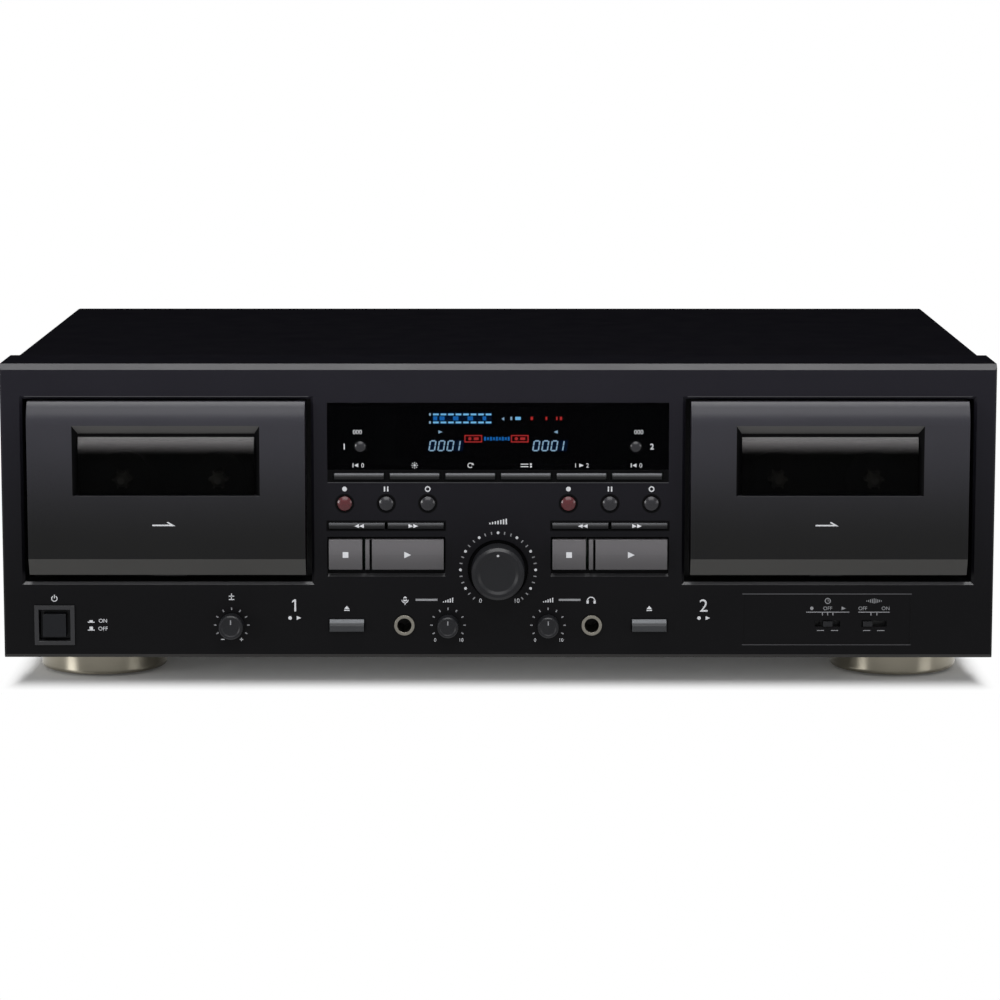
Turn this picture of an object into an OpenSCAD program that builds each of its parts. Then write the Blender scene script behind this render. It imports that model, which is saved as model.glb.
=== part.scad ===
// Double cassette deck for a hi-fi rack, standing on its feet at z = 0.
// x runs along the front from left to right, y from the front to the back. Sizes are in millimetres.

/* [Front panel] */
// Width of the middle field that holds the display and the keys
middle_w = 159.6; // [158:0.2:180]
// Thickness of the panel's face
panel_wall = 3; // [2.6:0.1:3.6]
// Thickness of the walls that run back from the face
return_wall = 2.5; // [1.5:0.1:3]
// Depth of the top and side walls
return_d = 38; // [30:1:50]
// Depth of the bottom wall
return_bottom_d = 18; // [14:1:22]
// Chamfer along the top edge of the face
top_chamfer = 2.5; // [1:0.1:3]
// Chamfer along the bottom edge of the face
bottom_chamfer = 1.6; // [0.6:0.1:2]
// Chamfer along the side edges of the face
edge_chamfer = 0.8; // [0.4:0.1:1.5]
// Space between a door's collar and the side of the panel
side_margin = 7.7; // [5:0.1:20]
// Height of the face above the doors
top_margin = 16.2; // [10:0.1:30]
// Height of the face below the doors
bottom_margin = 37.4; // [35:0.1:50]

/* [Case] */
// Depth from the panel's face to the outside of the rear panel
case_d = 265; // [250:1:320]
// Thickness of the cover, pan and rear sheets
sheet = 1; // [0.8:0.1:1.4]
// How far the cover's sides stand in from the panel's sides
cover_inset = 2.8; // [2.6:0.05:6]
// Clearance between nested sheets
sheet_gap = 0.2; // [0.1:0.05:0.4]
// Outer bend radius of the cover
bend_r = 2; // [1.5:0.1:4]
// Height of the pan's folded flanges
pan_flange_h = 17; // [14:0.5:24]
// Height of the cover's folded rear lip
lip_h = 12; // [9:0.5:20]
// Height of the main board above the pan
board_lift = 10; // [6:0.5:14]

/* [Feet] */
// Height of a foot with its pad
foot_h = 15; // [12:0.5:25]
// Diameter of a foot
foot_d = 57; // [45:0.5:60]
// Radius of a foot's lower edge
foot_edge_r = 2; // [1:0.5:8]
// Diameter of the pad under a foot
pad_d = 32; // [20:0.5:40]
// Thickness of the pad
pad_h = 3; // [2:0.1:5]
// How far the pad stands below the foot's rim
pad_out = 1; // [0.5:0.1:1.5]
// Distance of a foot's axis from the side of the panel
foot_side = 37.5; // [32:0.5:80]
// Distance of the front feet's axis from the panel's face
foot_front = 60; // [50:0.5:90]
// Distance of the rear feet's axis from the rear panel
foot_rear = 45; // [35:0.5:90]

/* [Doors] */
// Width of a cassette door
door_w = 121.2; // [118:0.2:130]
// Height of a cassette door
door_h = 76.4; // [75:0.1:85]
// How far a door stands out of the panel's face
door_proud = 6; // [5:0.1:8]
// Depth of a door's sides behind the panel's face
door_in = 5; // [4.6:0.1:6]
// Thickness of a door's front
door_wall = 3; // [2.5:0.1:3.2]
// Thickness of a door's sides
door_side = 2.2; // [1.6:0.1:2.6]
// Radius of the curve at a door's top
door_curve_r = 14; // [12:0.5:30]
// Height over which a door's top curves back
door_curve_h = 10; // [6:0.5:10]
// Height of the bevel along a door's lower edge
bevel_h = 7.5; // [4:0.1:9]
// How far that bevel leans back
bevel_in = 3.5; // [2:0.1:4]
// Gap at each side of a door
door_gap_side = 2.4; // [1.5:0.1:3]
// Gap above a door
door_gap_top = 0.9; // [0.8:0.1:2]
// Gap below a door
door_gap_bottom = 3.6; // [3:0.1:5]
// Thickness of the collar round a door's aperture
collar_wall = 2; // [1.5:0.1:3]
// Depth of that collar behind the panel's face
collar_d = 15; // [10:0.5:15]
// Width of the bevelled lip round the aperture
aperture_lip = 1.2; // [0.6:0.1:2]

/* [Door windows] */
// Width of a window's clear glass
glass_w = 77; // [60:0.5:84]
// Height of a window's clear glass
glass_h = 26.8; // [20:0.1:28]
// Distance of the glass below the door's top
glass_drop = 13.9; // [13.5:0.1:18]
// Height of the slope above the glass
slope_top = 3.7; // [3:0.1:4]
// Width of the slope beside the glass
slope_side = 2.4; // [0.8:0.1:3]
// Width of the slope below the glass
slope_bottom = 0.3; // [0.2:0.1:2]
// How far the pane fills the door's thickness
pane_t = 2.4; // [2:0.1:2.4]
// Gap between the pane and the slope above it
pane_drop = 1.5; // [0.2:0.1:2]
// Thickness of the window's hidden rim
window_rim_t = 1.5; // [1:0.1:2]
// Width of the window's hidden rim
window_rim = 3; // [2:0.1:5]
// Radius of the curve at the pane's top
pane_curve_r = 22; // [20:0.5:40]
// Height over which the pane's top curves back
pane_curve_h = 9; // [6:0.5:9]

/* [Door hinges] */
// Distance of the hinge axis behind the panel's face
hinge_in = 2.5; // [2.2:0.1:2.6]
// Height of the hinge axis above the door's lower edge
hinge_up = 6; // [5.6:0.1:6.6]
// Diameter of a hinge pin
hinge_pin_d = 4; // [3:0.1:4.2]
// Radial clearance of a turning pin or shaft
running_gap = 0.05; // [0.03:0.01:0.08]
// Radius of a hinge arm's nose
hinge_nose_r = 3.2; // [3:0.1:3.4]
// Thickness of a hinge arm
hinge_arm_t = 3.2; // [2.4:0.1:3.6]
// Clearance at each side of a hinge arm
hinge_side_gap = 0.5; // [0.3:0.1:0.8]

/* [Cassette transports] */
// Width of a cassette
cassette_w = 100.4; // [98:0.1:101]
// Height of a cassette
cassette_h = 63.8; // [60:0.1:64]
// Thickness of a cassette
cassette_t = 12; // [11.5:0.1:12.5]
// Clearance round a cassette in its holder
cassette_gap = 1; // [0.6:0.1:1.2]
// Distance between the reels' axes
reel_pitch = 42.5; // [40:0.1:44]
// Height of the reels' axes above the cassette's lower edge
reel_up = 34.4; // [32:0.1:38]
// Height of the capstan above the cassette's lower edge
capstan_up = 9.5; // [9.2:0.1:10]
// Distance of the capstan from the cassette's middle
capstan_side = 20.5; // [15:0.5:24]
// Sheet thickness of a holder
holder_t = 1.2; // [1:0.1:1.5]
// Sheet thickness of a transport frame
frame_t = 1.5; // [1.2:0.1:2]
// Diameter of a reel table
table_d = 24; // [18:0.5:28]
// Diameter of a reel spindle's core
spindle_d = 6.2; // [5:0.1:7]
// Diameter of a reel shaft
reel_shaft_d = 3; // [2:0.1:4]
// Diameter of a capstan
capstan_d = 2.5; // [2:0.1:3]
// Diameter of a flywheel
flywheel_d = 56; // [40:1:60]
// Diameter of a pinch roller
roller_d = 9.6; // [8:0.1:9.8]
// Travel of a head bridge
bridge_travel = 6; // [4:0.1:6]
// Diameter of a drive motor
motor_d = 32; // [24:0.5:34]

/* [Display] */
// Width of the display window
display_w = 149.3; // [140:0.1:152]
// Height of the display window
display_h = 29.4; // [28:0.1:31]
// Thickness of the display window
display_t = 2; // [1.5:0.1:2.2]
// Diameter of a counter reset button
reset_d = 4.6; // [3:0.1:6]
// Distance of the reset buttons from the ends of the display window
reset_in = 14.4; // [10:0.1:18]
// Height of the reset buttons above the display window's lower edge
reset_up = 10.2; // [8:0.1:16]

/* [Keys and buttons] */
// Gap round a key
key_gap = 0.35; // [0.25:0.05:0.5]
// Gap between two function keys
function_gap = 2.7; // [2:0.1:5]
// How far the row of function keys stands in from each end of the display window
function_in = 3; // [2:0.1:6]
// Height of a function key
function_h = 2.7; // [2:0.1:3]
// Distance of the middle of each deck's keys from the panel's middle
block_side = 49; // [48:0.1:50]
// Width of each deck's row of keys
block_w = 50.3; // [48:0.1:52]
// Diameter of a round button
round_d = 6.2; // [5:0.1:7]
// Gap round a round button
round_gap = 0.85; // [0.4:0.05:1]
// Distance from one round button to the next
round_pitch = 18.2; // [14:0.1:19]
// Height of a rewind or forward key
slim_h = 2.6; // [2:0.1:3.5]
// Height of a stop or play key
tall_h = 13.2; // [11:0.1:14]
// Width of a stop key
stop_w = 14.6; // [12:0.1:20]
// Gap between two keys in one slot
pair_gap = 1.4; // [0.6:0.1:1.8]
// Width of the bar at the left of a play key
bar_w = 1.8; // [1:0.1:3]
// Groove beside that bar
bar_groove = 1.1; // [0.6:0.1:2]
// Width of an eject key
eject_w = 15.1; // [12:0.1:18]
// Height of an eject key
eject_h = 5.2; // [4.5:0.1:7]
// Distance of the eject keys from the middle
eject_side = 66.5; // [62:0.1:68]
// Side of the power button's bezel
bezel_w = 17.6; // [16:0.1:20]
// Width of that bezel's frame
bezel_frame = 1.8; // [1.6:0.1:2.6]
// Gap between that frame and the power button's cap
cap_gap = 2; // [1:0.1:2.5]
// Distance of the power button from the side of the panel
power_side = 22.4; // [18:0.1:26]

/* [Knobs, jacks and switches] */
// Diameter of the recording level knob
record_knob_d = 23; // [18:0.1:25]
// How far that knob stands out of the panel's face
record_knob_out = 13; // [10:0.1:18]
// Diameter of the dished ring round it
record_ring_d = 26.6; // [26:0.1:30]
// Diameter of a small level knob
level_knob_d = 9.2; // [8:0.1:11]
// How far the small knobs stand out of the panel's face
level_knob_out = 7.5; // [5:0.1:10]
// Distance of the level knobs from the middle
level_side = 22; // [18:0.1:24]
// Diameter of the pitch knob
pitch_knob_d = 10.6; // [9:0.1:12]
// Distance of the pitch knob from the side of the panel
pitch_side = 100.3; // [95:0.1:105]
// Diameter of the recording level shaft
record_shaft_d = 6; // [5:0.1:6.5]
// Diameter of the other knobs' shafts
level_shaft_d = 4; // [3:0.1:4.5]
// Bore of a front jack
jack_bore_d = 6.35; // [6.3:0.01:6.5]
// Outer diameter of a front jack's bush
jack_bush_d = 8.9; // [8.4:0.1:10]
// Distance of the jacks from the middle
jack_side = 41.2; // [39:0.1:44]
// Height of the row of knobs, jacks and switches above the panel's lower edge
low_row_up = 14.6; // [12.5:0.1:16]
// Width of the field that holds the slide switches
switch_field_w = 73.5; // [70:0.5:80]
// Height of that field
switch_field_h = 22.3; // [20:0.1:24]
// Length of a slide switch's slot
switch_slot_w = 11.1; // [10:0.1:13]
// Height of a slide switch's slot
switch_slot_h = 2.8; // [2.2:0.1:3.5]
// Width of a slide switch's tab
tab_w = 4; // [3:0.1:5]
// Distance from the middle of the panel to the timer switch
timer_side = 145; // [143:0.1:147]
// Distance from the timer switch to the noise reduction switch
switch_pitch = 20.5; // [18:0.1:22]

/* [Rear] */
// Outer diameter of a line socket
socket_d = 8.3; // [8:0.1:8.6]
// How far a line socket stands out of the rear panel
socket_out = 8; // [6:0.1:12]
// Distance between a pair of line sockets
socket_pitch = 16; // [14:0.1:20]
// Distance of the line sockets from the middle
socket_side = 150; // [120:1:170]
// Width of the mains inlet
inlet_w = 24; // [20:0.5:28]
// Height of the mains inlet
inlet_h = 16; // [14:0.5:20]
// Diameter of a case screw
screw_d = 3; // [2.5:0.1:4]

/* [Hidden] */
$fn = 64;
// Widths and heights of the panel
door_pitch = door_w + 2 * (door_gap_side + collar_wall);
panel_w = middle_w + 2 * (door_pitch + side_margin);
panel_h = bottom_margin + door_h + top_margin;
panel_z = foot_h;
panel_top = panel_z + panel_h;
// Depths, with the whole centred on y = 0
total_d = record_knob_out + case_d + socket_out;
panel_y = record_knob_out - total_d / 2;
panel_back = panel_y + panel_wall;
rear_y = panel_y + case_d;
// Doors and hinges
door_x = middle_w / 2 + door_pitch / 2;
door_z = panel_z + bottom_margin;
door_top = door_z + door_h;
door_y = panel_y - door_proud;
door_back = panel_y + door_in;
door_mid_y = door_y + door_wall;
hinge_y = panel_y + hinge_in;
hinge_z = door_z + hinge_up;
hinge_arm_x = door_w / 2 - door_side - hinge_side_gap;
// Door windows
glass_top = door_top - glass_drop;
glass_z = glass_top - glass_h;
fit_gap = 0.1;
// Cassette pocket, holder and transport
pocket_w = cassette_w + 2 * cassette_gap;
pocket_y = door_back + holder_t;
pocket_back = pocket_y + cassette_t + cassette_gap;
cassette_drop = 0.5;
cassette_z = hinge_z - cassette_drop;
holder_back = pocket_back + holder_t;
holder_top = cassette_z + 0.86 * cassette_h;
ear_up = 8;
table_t = 2.2;
run_clear = 0.3;
table_y = holder_back + fit_gap;
frame_y = table_y + table_t + run_clear;
frame_side = 1.4;
frame_low = 12;
frame_high = 2.3;
frame_w = door_w + 2 * frame_side;
frame_z = door_z - frame_low;
frame_top = door_top + frame_high;
frame_d = 26;
frame_back = frame_y + frame_d;
frame_foot_w = 10;
frame_foot_d = 20;
frame_foot_x = 31;
bush_l = 6;
bush_wall = 2.5;
spindle_in = 3;
spindle_point = 2.5;
wing_t = 1;
wing_out = 1.2;
capstan_in = 4;
hub_wall = 4;
hub_l = 9;
rim_l = 6;
reel_z = cassette_z + reel_up;
capstan_z = cassette_z + capstan_up;
// Head bridge
bridge_t = 1.2;
bridge_y = frame_y - run_clear - bridge_t;
bridge_w = 72;
bridge_z = frame_z + 1;
bridge_top = capstan_z - capstan_d / 2 - bridge_travel - run_clear;
stud_d = 3;
stud_x = 29;
stud_up = 10;
stud_z = bridge_z + stud_up;
stud_head = 0.8;
roller_gap = 0.25;
roller_l = 7;
roller_z = capstan_z - capstan_d / 2 - roller_d / 2 - bridge_travel - roller_gap;
head_w = 14;
head_top = cassette_z - 1.5;
head_low = 8;
// Rows of keys, from the top down
display_drop = 0.75;
function_drop = 1.6;
round_drop = 14.95;
slim_drop = 11.2;
tall_drop = 29.1;
record_knob_drop = 6.95;
display_top = door_top - display_drop;
display_z = display_top - display_h;
function_top = display_z - function_drop;
round_z = display_z - round_drop;
slim_z = round_z - slim_drop;
tall_z = round_z - tall_drop;
record_knob_z = tall_z + tall_h / 2 - record_knob_drop;
low_z = panel_z + low_row_up;
reset_z = display_z + reset_up;
reset_x = display_w / 2 - reset_in;
function_w = (display_w - 2 * function_in - 5 * function_gap) / 6;
function_pitch = function_w + function_gap;
// Keys behind the panel
key_rim = 0.8;
rim_t = 1.2;
rim_y = panel_back + run_clear;
stem_d = 2.4;
tact_h = 4;
tact_w = 5;
board_t = 1.6;
board_in = 17;
board_y = panel_back + board_in;
board_w = middle_w - 2.6;
board_z = panel_z + 5;
board_top = display_top - 2.2;
tact_y = board_y - tact_h;
slim_travel = 0.8;
round_travel = 1;
tall_travel = 1.5;
eject_travel = 3;
power_travel = 4;
slim_proud = 1;
tall_proud = 2.2;
round_proud = 1.2;
eject_proud = 2.4;
// Places of the controls
power_x = -panel_w / 2 + power_side;
pitch_x = -panel_w / 2 + pitch_side;
noise_side = timer_side + switch_pitch;
switch_field_x = timer_side - 0.35;
switch_field_up = 17.2;
switch_field_z = panel_z + switch_field_up;
switch_up = 15.2;
switch_z = panel_z + switch_up;
switch_body_y = panel_back + 4;
switch_post_side = 21;
noise_offset = (switch_slot_w - tab_w) / 2 - 0.6;
bezel_open = bezel_w - 2 * bezel_frame;
bezel_sleeve = bezel_w - 2;
// Case sheets
cover_w = panel_w - 2 * cover_inset;
cover_front = panel_y + return_d;
pan_w = cover_w - 2 * sheet - 2 * sheet_gap;
pan_front = panel_y + return_bottom_d;
pan_back = rear_y - sheet;
pan_top = panel_z + sheet;
main_board_z = pan_top + board_lift;
foot_x = panel_w / 2 - foot_side;
foot_ys = [panel_y + foot_front, rear_y - foot_rear];
screw_z = panel_z + pan_flange_h / 2;
side_screw_front = 30;
side_screw_rear = 40;
side_screw_ys = [cover_front + side_screw_front, rear_y - side_screw_rear];
rear_screw_xs = [-0.4 * pan_w, 0, 0.4 * pan_w];
rear_screw_z = panel_top - lip_h / 2;
screw_head_h = 2;
screw_head_edge = 0.8;
screw_l = 7;
socket_up = 85;
socket_z = panel_z + socket_up;
socket_block = 16;
socket_block_d = 12;
socket_bore_d = 3.2;
socket_bore_l = 8;
socket_collar = 0.6;
inlet_in = 45;
inlet_up = 40;
inlet_x = -panel_w / 2 + inlet_in;
inlet_z = panel_z + inlet_up;
inlet_flange = 3;
inlet_lip = 1.5;
inlet_d = 16;
inlet_recess = 11;
inlet_lobe_d = 9.2;
inlet_pin_side = 4.3;
inlet_pin_d = 2.4;
// Power button and front jacks
bezel_out = 1;
bezel_d = 12;
cap_out = 1.6;
power_switch_in = 19;
power_switch_y = panel_y + power_switch_in;
power_switch_w = 14;
power_switch_d = 19;
jack_out = 1;
jack_body = 12;
jack_body_y = panel_back + 6;
// Boards and what stands on them
tube_in = 30.65;
tube_y = panel_back + 6;
tube_t = 8;
tube_low = 4;
pot_d = 8;
pot_w = 12;
record_pot_w = 18;
pitch_board_w = 24;
pitch_board_h = 20;
main_left = 100;
main_right = 185;
main_front = 70;
main_back = 110;
pillar_d = 6;
pillar_in = 5;
reservoir_d = 16;
reservoir_h = 27;
reservoir_pitch = 20;
reservoir_x = 80;
reservoir_y = 80;
sink_x = 30;
sink_y = 70;
sink_d = 30;
sink_h = 34;
fin_t = 2;
fin_pitch = 8;
spine_t = 3;
// Transformer and motors
transformer_x = 150;
transformer_y = 60;
core_w = 60;
core_d = 22;
core_h = 50;
coil_w = 40;
coil_d = 48;
coil_edge = 8;
plate_w = 76;
plate_d = 28;
plate_t = 2;
motor_side = 38;
motor_up = 20;
motor_l = 22;
motor_boss_l = 3;

// Deck 1 is the left one and deck 2 the right one
function deck_side(deck) = deck == 1 ? -1 : 1;
function deck_x(deck) = deck_side(deck) * door_x;
function block_x(deck) = deck_side(deck) * block_side - block_w / 2;
function round_x(deck, place) = deck_side(deck) * block_side + place * round_pitch;
function function_x(place) = (place - 3.5) * function_pitch;
function slim_w() = (block_w - pair_gap) / 2;
function play_w() = block_w - stop_w - pair_gap;

// A block between two opposite corners
module block(low, high) {
    translate(low) cube(high - low);
}

// A cylinder along y
module rod_y(d, y0, y1) {
    translate([0, y0, 0]) rotate([-90, 0, 0]) cylinder(h = y1 - y0, d = d);
}

// A cylinder along x
module rod_x(d, x0, x1) {
    translate([x0, 0, 0]) rotate([0, 90, 0]) cylinder(h = x1 - x0, d = d);
}

// A (y, z) outline carried along x
module along_x(x0, x1) {
    translate([x0, 0, 0]) rotate([90, 0, 90]) linear_extrude(x1 - x0) children();
}

// An (x, z) outline carried along y
module along_y(y0, y1) {
    translate([0, y1, 0]) rotate([90, 0, 0]) linear_extrude(y1 - y0) children();
}

// An (r, y) outline turned about the y axis
module turned_y() {
    rotate([-90, 0, 0]) rotate_extrude() children();
}

// A rectangular mouth from y0 to y1, wider at the front by a slope on each edge
module mouth(y0, y1, low, high, wide_low, wide_high) {
    intersection() {
        along_x(wide_low[0], wide_high[0])
            polygon([[y0, wide_low[1]], [y1, low[1]], [y1, high[1]], [y0, wide_high[1]]]);
        translate([0, 0, wide_low[1]]) linear_extrude(wide_high[1] - wide_low[1])
            polygon([[wide_low[0], y0], [low[0], y1], [high[0], y1], [wide_high[0], y0]]);
    }
}

// Outside of the moulded front, with its chamfered edges
module panel_blank() {
    back = panel_y + return_d;
    half = panel_w / 2;
    intersection() {
        along_x(-half, half) polygon([
            [panel_y, panel_z + bottom_chamfer], [panel_y, panel_top - top_chamfer],
            [panel_y + top_chamfer, panel_top], [back, panel_top],
            [back, panel_z], [panel_y + bottom_chamfer, panel_z]
        ]);
        translate([0, 0, panel_z]) linear_extrude(panel_h) polygon([
            [-half, panel_y + edge_chamfer], [edge_chamfer - half, panel_y],
            [half - edge_chamfer, panel_y], [half, panel_y + edge_chamfer],
            [half, back], [-half, back]
        ]);
    }
}

// Frame behind the face plate: top, bottom and side walls, the bottom one shorter
module return_frame() {
    inner = panel_w / 2 - return_wall;
    front = panel_back + fit_gap;
    back = panel_y + return_d + 1;
    difference() {
        panel_blank();
        block([-panel_w, panel_y - 1, panel_z - 1], [panel_w, front, panel_top + 1]);
        block([-inner, panel_back, panel_z + return_wall], [inner, back, panel_top - return_wall]);
        block([-inner, pan_front, panel_z - 1], [inner, back, panel_z + return_wall + 1]);
    }
}

// Aperture of a door, through the face and its collar
module door_aperture(deck) {
    half = door_w / 2 + door_gap_side;
    low = [deck_x(deck) - half, door_z - door_gap_bottom];
    high = [deck_x(deck) + half, door_top + door_gap_top];
    reach = [aperture_lip + 1, aperture_lip + 1];
    block([low[0], panel_y - 1, low[1]], [high[0], panel_y + collar_d + 1, high[1]]);
    mouth(panel_y - 1, panel_y + aperture_lip, low, high, low - reach, high + reach);
}

// Collar behind the face plate, round a door's aperture
module door_collar(deck) {
    half = door_pitch / 2;
    difference() {
        block([deck_x(deck) - half, panel_back + fit_gap, door_z - door_gap_bottom - collar_wall],
            [deck_x(deck) + half, panel_y + collar_d, door_top + door_gap_top + collar_wall]);
        door_aperture(deck);
    }
}

// Slot for a key, through the face
module key_slot(x, z, w, h) {
    block([x - key_gap, panel_y - 1, z - key_gap], [x + w + key_gap, panel_back + 1, z + h + key_gap]);
}

// Slots and holes for one deck's keys, with the sloped lip below the tall ones
module deck_slots(deck) {
    x = block_x(deck);
    lip_d = 1.2;
    lip_low = tall_z - 2.1;
    lip_top = tall_z + tall_h + 3 * key_gap;
    key_slot(x, slim_z, block_w, slim_h);
    key_slot(x, tall_z, block_w, tall_h);
    along_x(x - 2 * key_gap, x + block_w + 2 * key_gap) polygon([
        [panel_y - 1, lip_low - lip_d], [panel_y, lip_low - lip_d], [panel_y + lip_d, lip_low],
        [panel_y + lip_d, lip_top], [panel_y - 1, lip_top]
    ]);
    for (place = [-1 : 1])
        translate([round_x(deck, place), 0, round_z])
            rod_y(round_d + 2 * round_gap, panel_y - 1, panel_back + 1);
    key_slot(deck_side(deck) * eject_side - eject_w / 2, low_z - eject_h / 2, eject_w, eject_h);
    for (x = [jack_side, level_side])
        translate([deck_side(deck) * x, 0, low_z])
            rod_y(
                x == jack_side ? jack_bush_d + 2 * fit_gap : level_shaft_d + 2,
                panel_y - 1, panel_back + 1
            );
}

// Pocket and ledge for the display window
module display_pocket() {
    half = display_w / 2 + fit_gap;
    ledge = 2;
    block([-half, panel_y - 1, display_z - fit_gap], [half, panel_y + display_t, display_top + fit_gap]);
    block([ledge - half, panel_y, display_z + ledge], [half - ledge, panel_back + 1, display_top - ledge]);
}

// Recessed field and slots of the slide switches
module switch_cuts() {
    block([switch_field_x - switch_field_w / 2, panel_y - 1, switch_field_z - switch_field_h / 2],
        [switch_field_x + switch_field_w / 2, panel_y + 0.4, switch_field_z + switch_field_h / 2]);
    for (x = [timer_side, noise_side])
        block([x - switch_slot_w / 2, panel_y - 1, switch_z - switch_slot_h / 2],
            [x + switch_slot_w / 2, panel_back + 1, switch_z + switch_slot_h / 2]);
}

// Posts that carry the boards behind the face
module panel_posts() {
    post_d = 5;
    for (side = [-1, 1], z = [tall_z - 6.2, round_z - 2.9])
        translate([side * (board_w / 2 - post_d / 2), 0, z]) rod_y(post_d, panel_back + fit_gap, board_y);
    for (side = [-1, 1])
        translate([(timer_side + noise_side) / 2 + side * switch_post_side, 0, switch_z])
            rod_y(post_d, panel_back + fit_gap, board_y);
}

// Face plate with its apertures, slots and holes
module face_plate() {
    hole_top = panel_back + 1;
    difference() {
        panel_blank();
        block([-panel_w, panel_back, panel_z - 1], [panel_w, panel_y + return_d + 1, panel_top + 1]);
        for (deck = [1, 2]) {
            door_aperture(deck);
            deck_slots(deck);
        }
        display_pocket();
        switch_cuts();
        for (place = [1 : 6])
            key_slot(function_x(place) - function_w / 2, function_top - function_h, function_w, function_h);
        translate([0, 0, record_knob_z]) {
            rod_y(record_ring_d, panel_y - 1, panel_y + 1.2);
            rod_y(record_shaft_d + 1, panel_y, hole_top);
        }
        translate([pitch_x, 0, low_z]) rod_y(level_shaft_d + 2, panel_y - 1, hole_top);
        translate([power_x, 0, low_z])
            along_y(panel_y - 1, hole_top) square(bezel_sleeve + 2 * fit_gap, center = true);
    }
}

module front_panel() {
    color("#1b1c20") {
        face_plate();
        return_frame();
        for (deck = [1, 2]) door_collar(deck);
        panel_posts();
    }
}

module chassis_pan() {
    half = pan_w / 2;
    flange_top = panel_z + pan_flange_h;
    color("#8d9093") difference() {
        union() {
            block([-half, pan_front, panel_z], [half, pan_back, pan_top]);
            for (side = [-1, 1])
                translate([side * (half - sheet / 2) - sheet / 2, 0, 0])
                    block([0, pan_front, panel_z], [sheet, pan_back, flange_top]);
            block([-half, pan_back - sheet, panel_z], [half, pan_back, flange_top]);
            for (x = [pillar_in - main_left, main_right - pillar_in],
                y = [pillar_in - main_front, main_back - pillar_in])
                translate([x, y, panel_z]) cylinder(h = main_board_z - panel_z, d = pillar_d);
        }
        for (y = side_screw_ys)
            translate([0, y, screw_z]) rod_x(screw_d + 2 * fit_gap, -half - 1, half + 1);
        for (x = rear_screw_xs)
            translate([x, 0, screw_z])
                rod_y(screw_d + 2 * fit_gap, pan_back - sheet - 1, pan_back + 1);
    }
}

// Outline of the cover in front view, grown inwards by one sheet for its inside
module cover_outline(inset, bottom) {
    half = cover_w / 2 - inset;
    top = panel_top - inset;
    r = bend_r - inset;
    translate([-half, bottom]) square([2 * half, top - r - bottom]);
    translate([r - half, bottom]) square([2 * (half - r), top - bottom]);
    for (side = [-1, 1]) translate([side * (half - r), top - r]) circle(r = r);
}

module top_cover() {
    cover_back = rear_y + sheet;
    color("#141414") difference() {
        along_y(cover_front, cover_back) cover_outline(0, panel_z + sheet_gap);
        along_y(cover_front - 1, rear_y) cover_outline(sheet, panel_z - 1);
        block([sheet - cover_w / 2, rear_y - 1, panel_z - 1],
            [cover_w / 2 - sheet, cover_back + 1, panel_top - lip_h]);
        for (y = side_screw_ys)
            translate([0, y, screw_z]) rod_x(screw_d + 0.4, -cover_w / 2 - 1, cover_w / 2 + 1);
        for (x = rear_screw_xs)
            translate([x, 0, rear_screw_z]) rod_y(screw_d + 0.4, rear_y - 1, cover_back + 1);
    }
}

module rear_panel() {
    color("#17181a") difference() {
        along_y(pan_back, rear_y) cover_outline(sheet + sheet_gap, pan_top + sheet_gap);
        for (column = [-1, 1], row = [-1, 1])
            translate([socket_side + column * socket_pitch / 2, 0, socket_z + row * socket_pitch / 2])
                rod_y(socket_d + 1, pan_back - 1, rear_y + 1);
        translate([inlet_x, 0, inlet_z])
            along_y(pan_back - 1, rear_y + 1)
                square([inlet_w + 2 * fit_gap, inlet_h + 2 * fit_gap], center = true);
        for (x = rear_screw_xs, z = [screw_z, rear_screw_z])
            translate([x, 0, z]) rod_y(screw_d + 2 * fit_gap, pan_back - 1, rear_y + 1);
    }
}

// One foot with its pad in a recess underneath
module foot() {
    r = foot_d / 2;
    rotate_extrude() difference() {
        union() {
            translate([0, pad_out + foot_edge_r]) square([r, foot_h - pad_out - foot_edge_r]);
            translate([0, pad_out]) square([r - foot_edge_r, foot_edge_r + 1]);
            translate([r - foot_edge_r, pad_out + foot_edge_r]) circle(r = foot_edge_r);
        }
        translate([-1, 0]) square([pad_d / 2 + fit_gap + 1, pad_h]);
        translate([-2 * foot_edge_r, 0]) square([2 * foot_edge_r, foot_h]);
    }
    cylinder(h = pad_h - fit_gap, d = pad_d);
}

module feet() {
    color("#b9ad96") for (side = [-1, 1], y = foot_ys)
        translate([side * foot_x, y, 0]) foot();
}

// A case screw along +y, with its head's seat at the origin
module screw() {
    head_r = 1.2 * screw_d;
    turned_y() polygon([
        [0, -screw_head_h], [head_r - screw_head_edge, -screw_head_h],
        [head_r, screw_head_edge - screw_head_h], [head_r, 0],
        [screw_d / 2, 0], [screw_d / 2, screw_l], [0, screw_l]
    ]);
}

module case_screws() {
    color("#2a2a2c") {
        for (side = [-1, 1], y = side_screw_ys)
            translate([side * cover_w / 2, y, screw_z]) rotate([0, 0, side * 90]) screw();
        for (x = rear_screw_xs) {
            translate([x, rear_y + sheet, rear_screw_z]) rotate([0, 0, 180]) screw();
            translate([x, rear_y, screw_z]) rotate([0, 0, 180]) screw();
        }
    }
}

module power_bezel() {
    color("#4b4a4c") translate([power_x, 0, low_z]) difference() {
        union() {
            along_y(panel_y - bezel_out, panel_y) square(bezel_w, center = true);
            along_y(panel_y - bezel_out / 2, panel_y + bezel_d) square(bezel_sleeve, center = true);
        }
        along_y(panel_y - bezel_out - 1, panel_y + bezel_d + 1) square(bezel_open, center = true);
    }
}

module display_window() {
    half = display_w / 2;
    color("#08090b") difference() {
        block([-half, panel_y, display_z], [half, panel_y + display_t, display_top]);
        for (side = [-1, 1])
            translate([side * reset_x, 0, reset_z])
                rod_y(reset_d + 0.8, panel_y - 1, panel_y + display_t + 1);
    }
}

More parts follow.
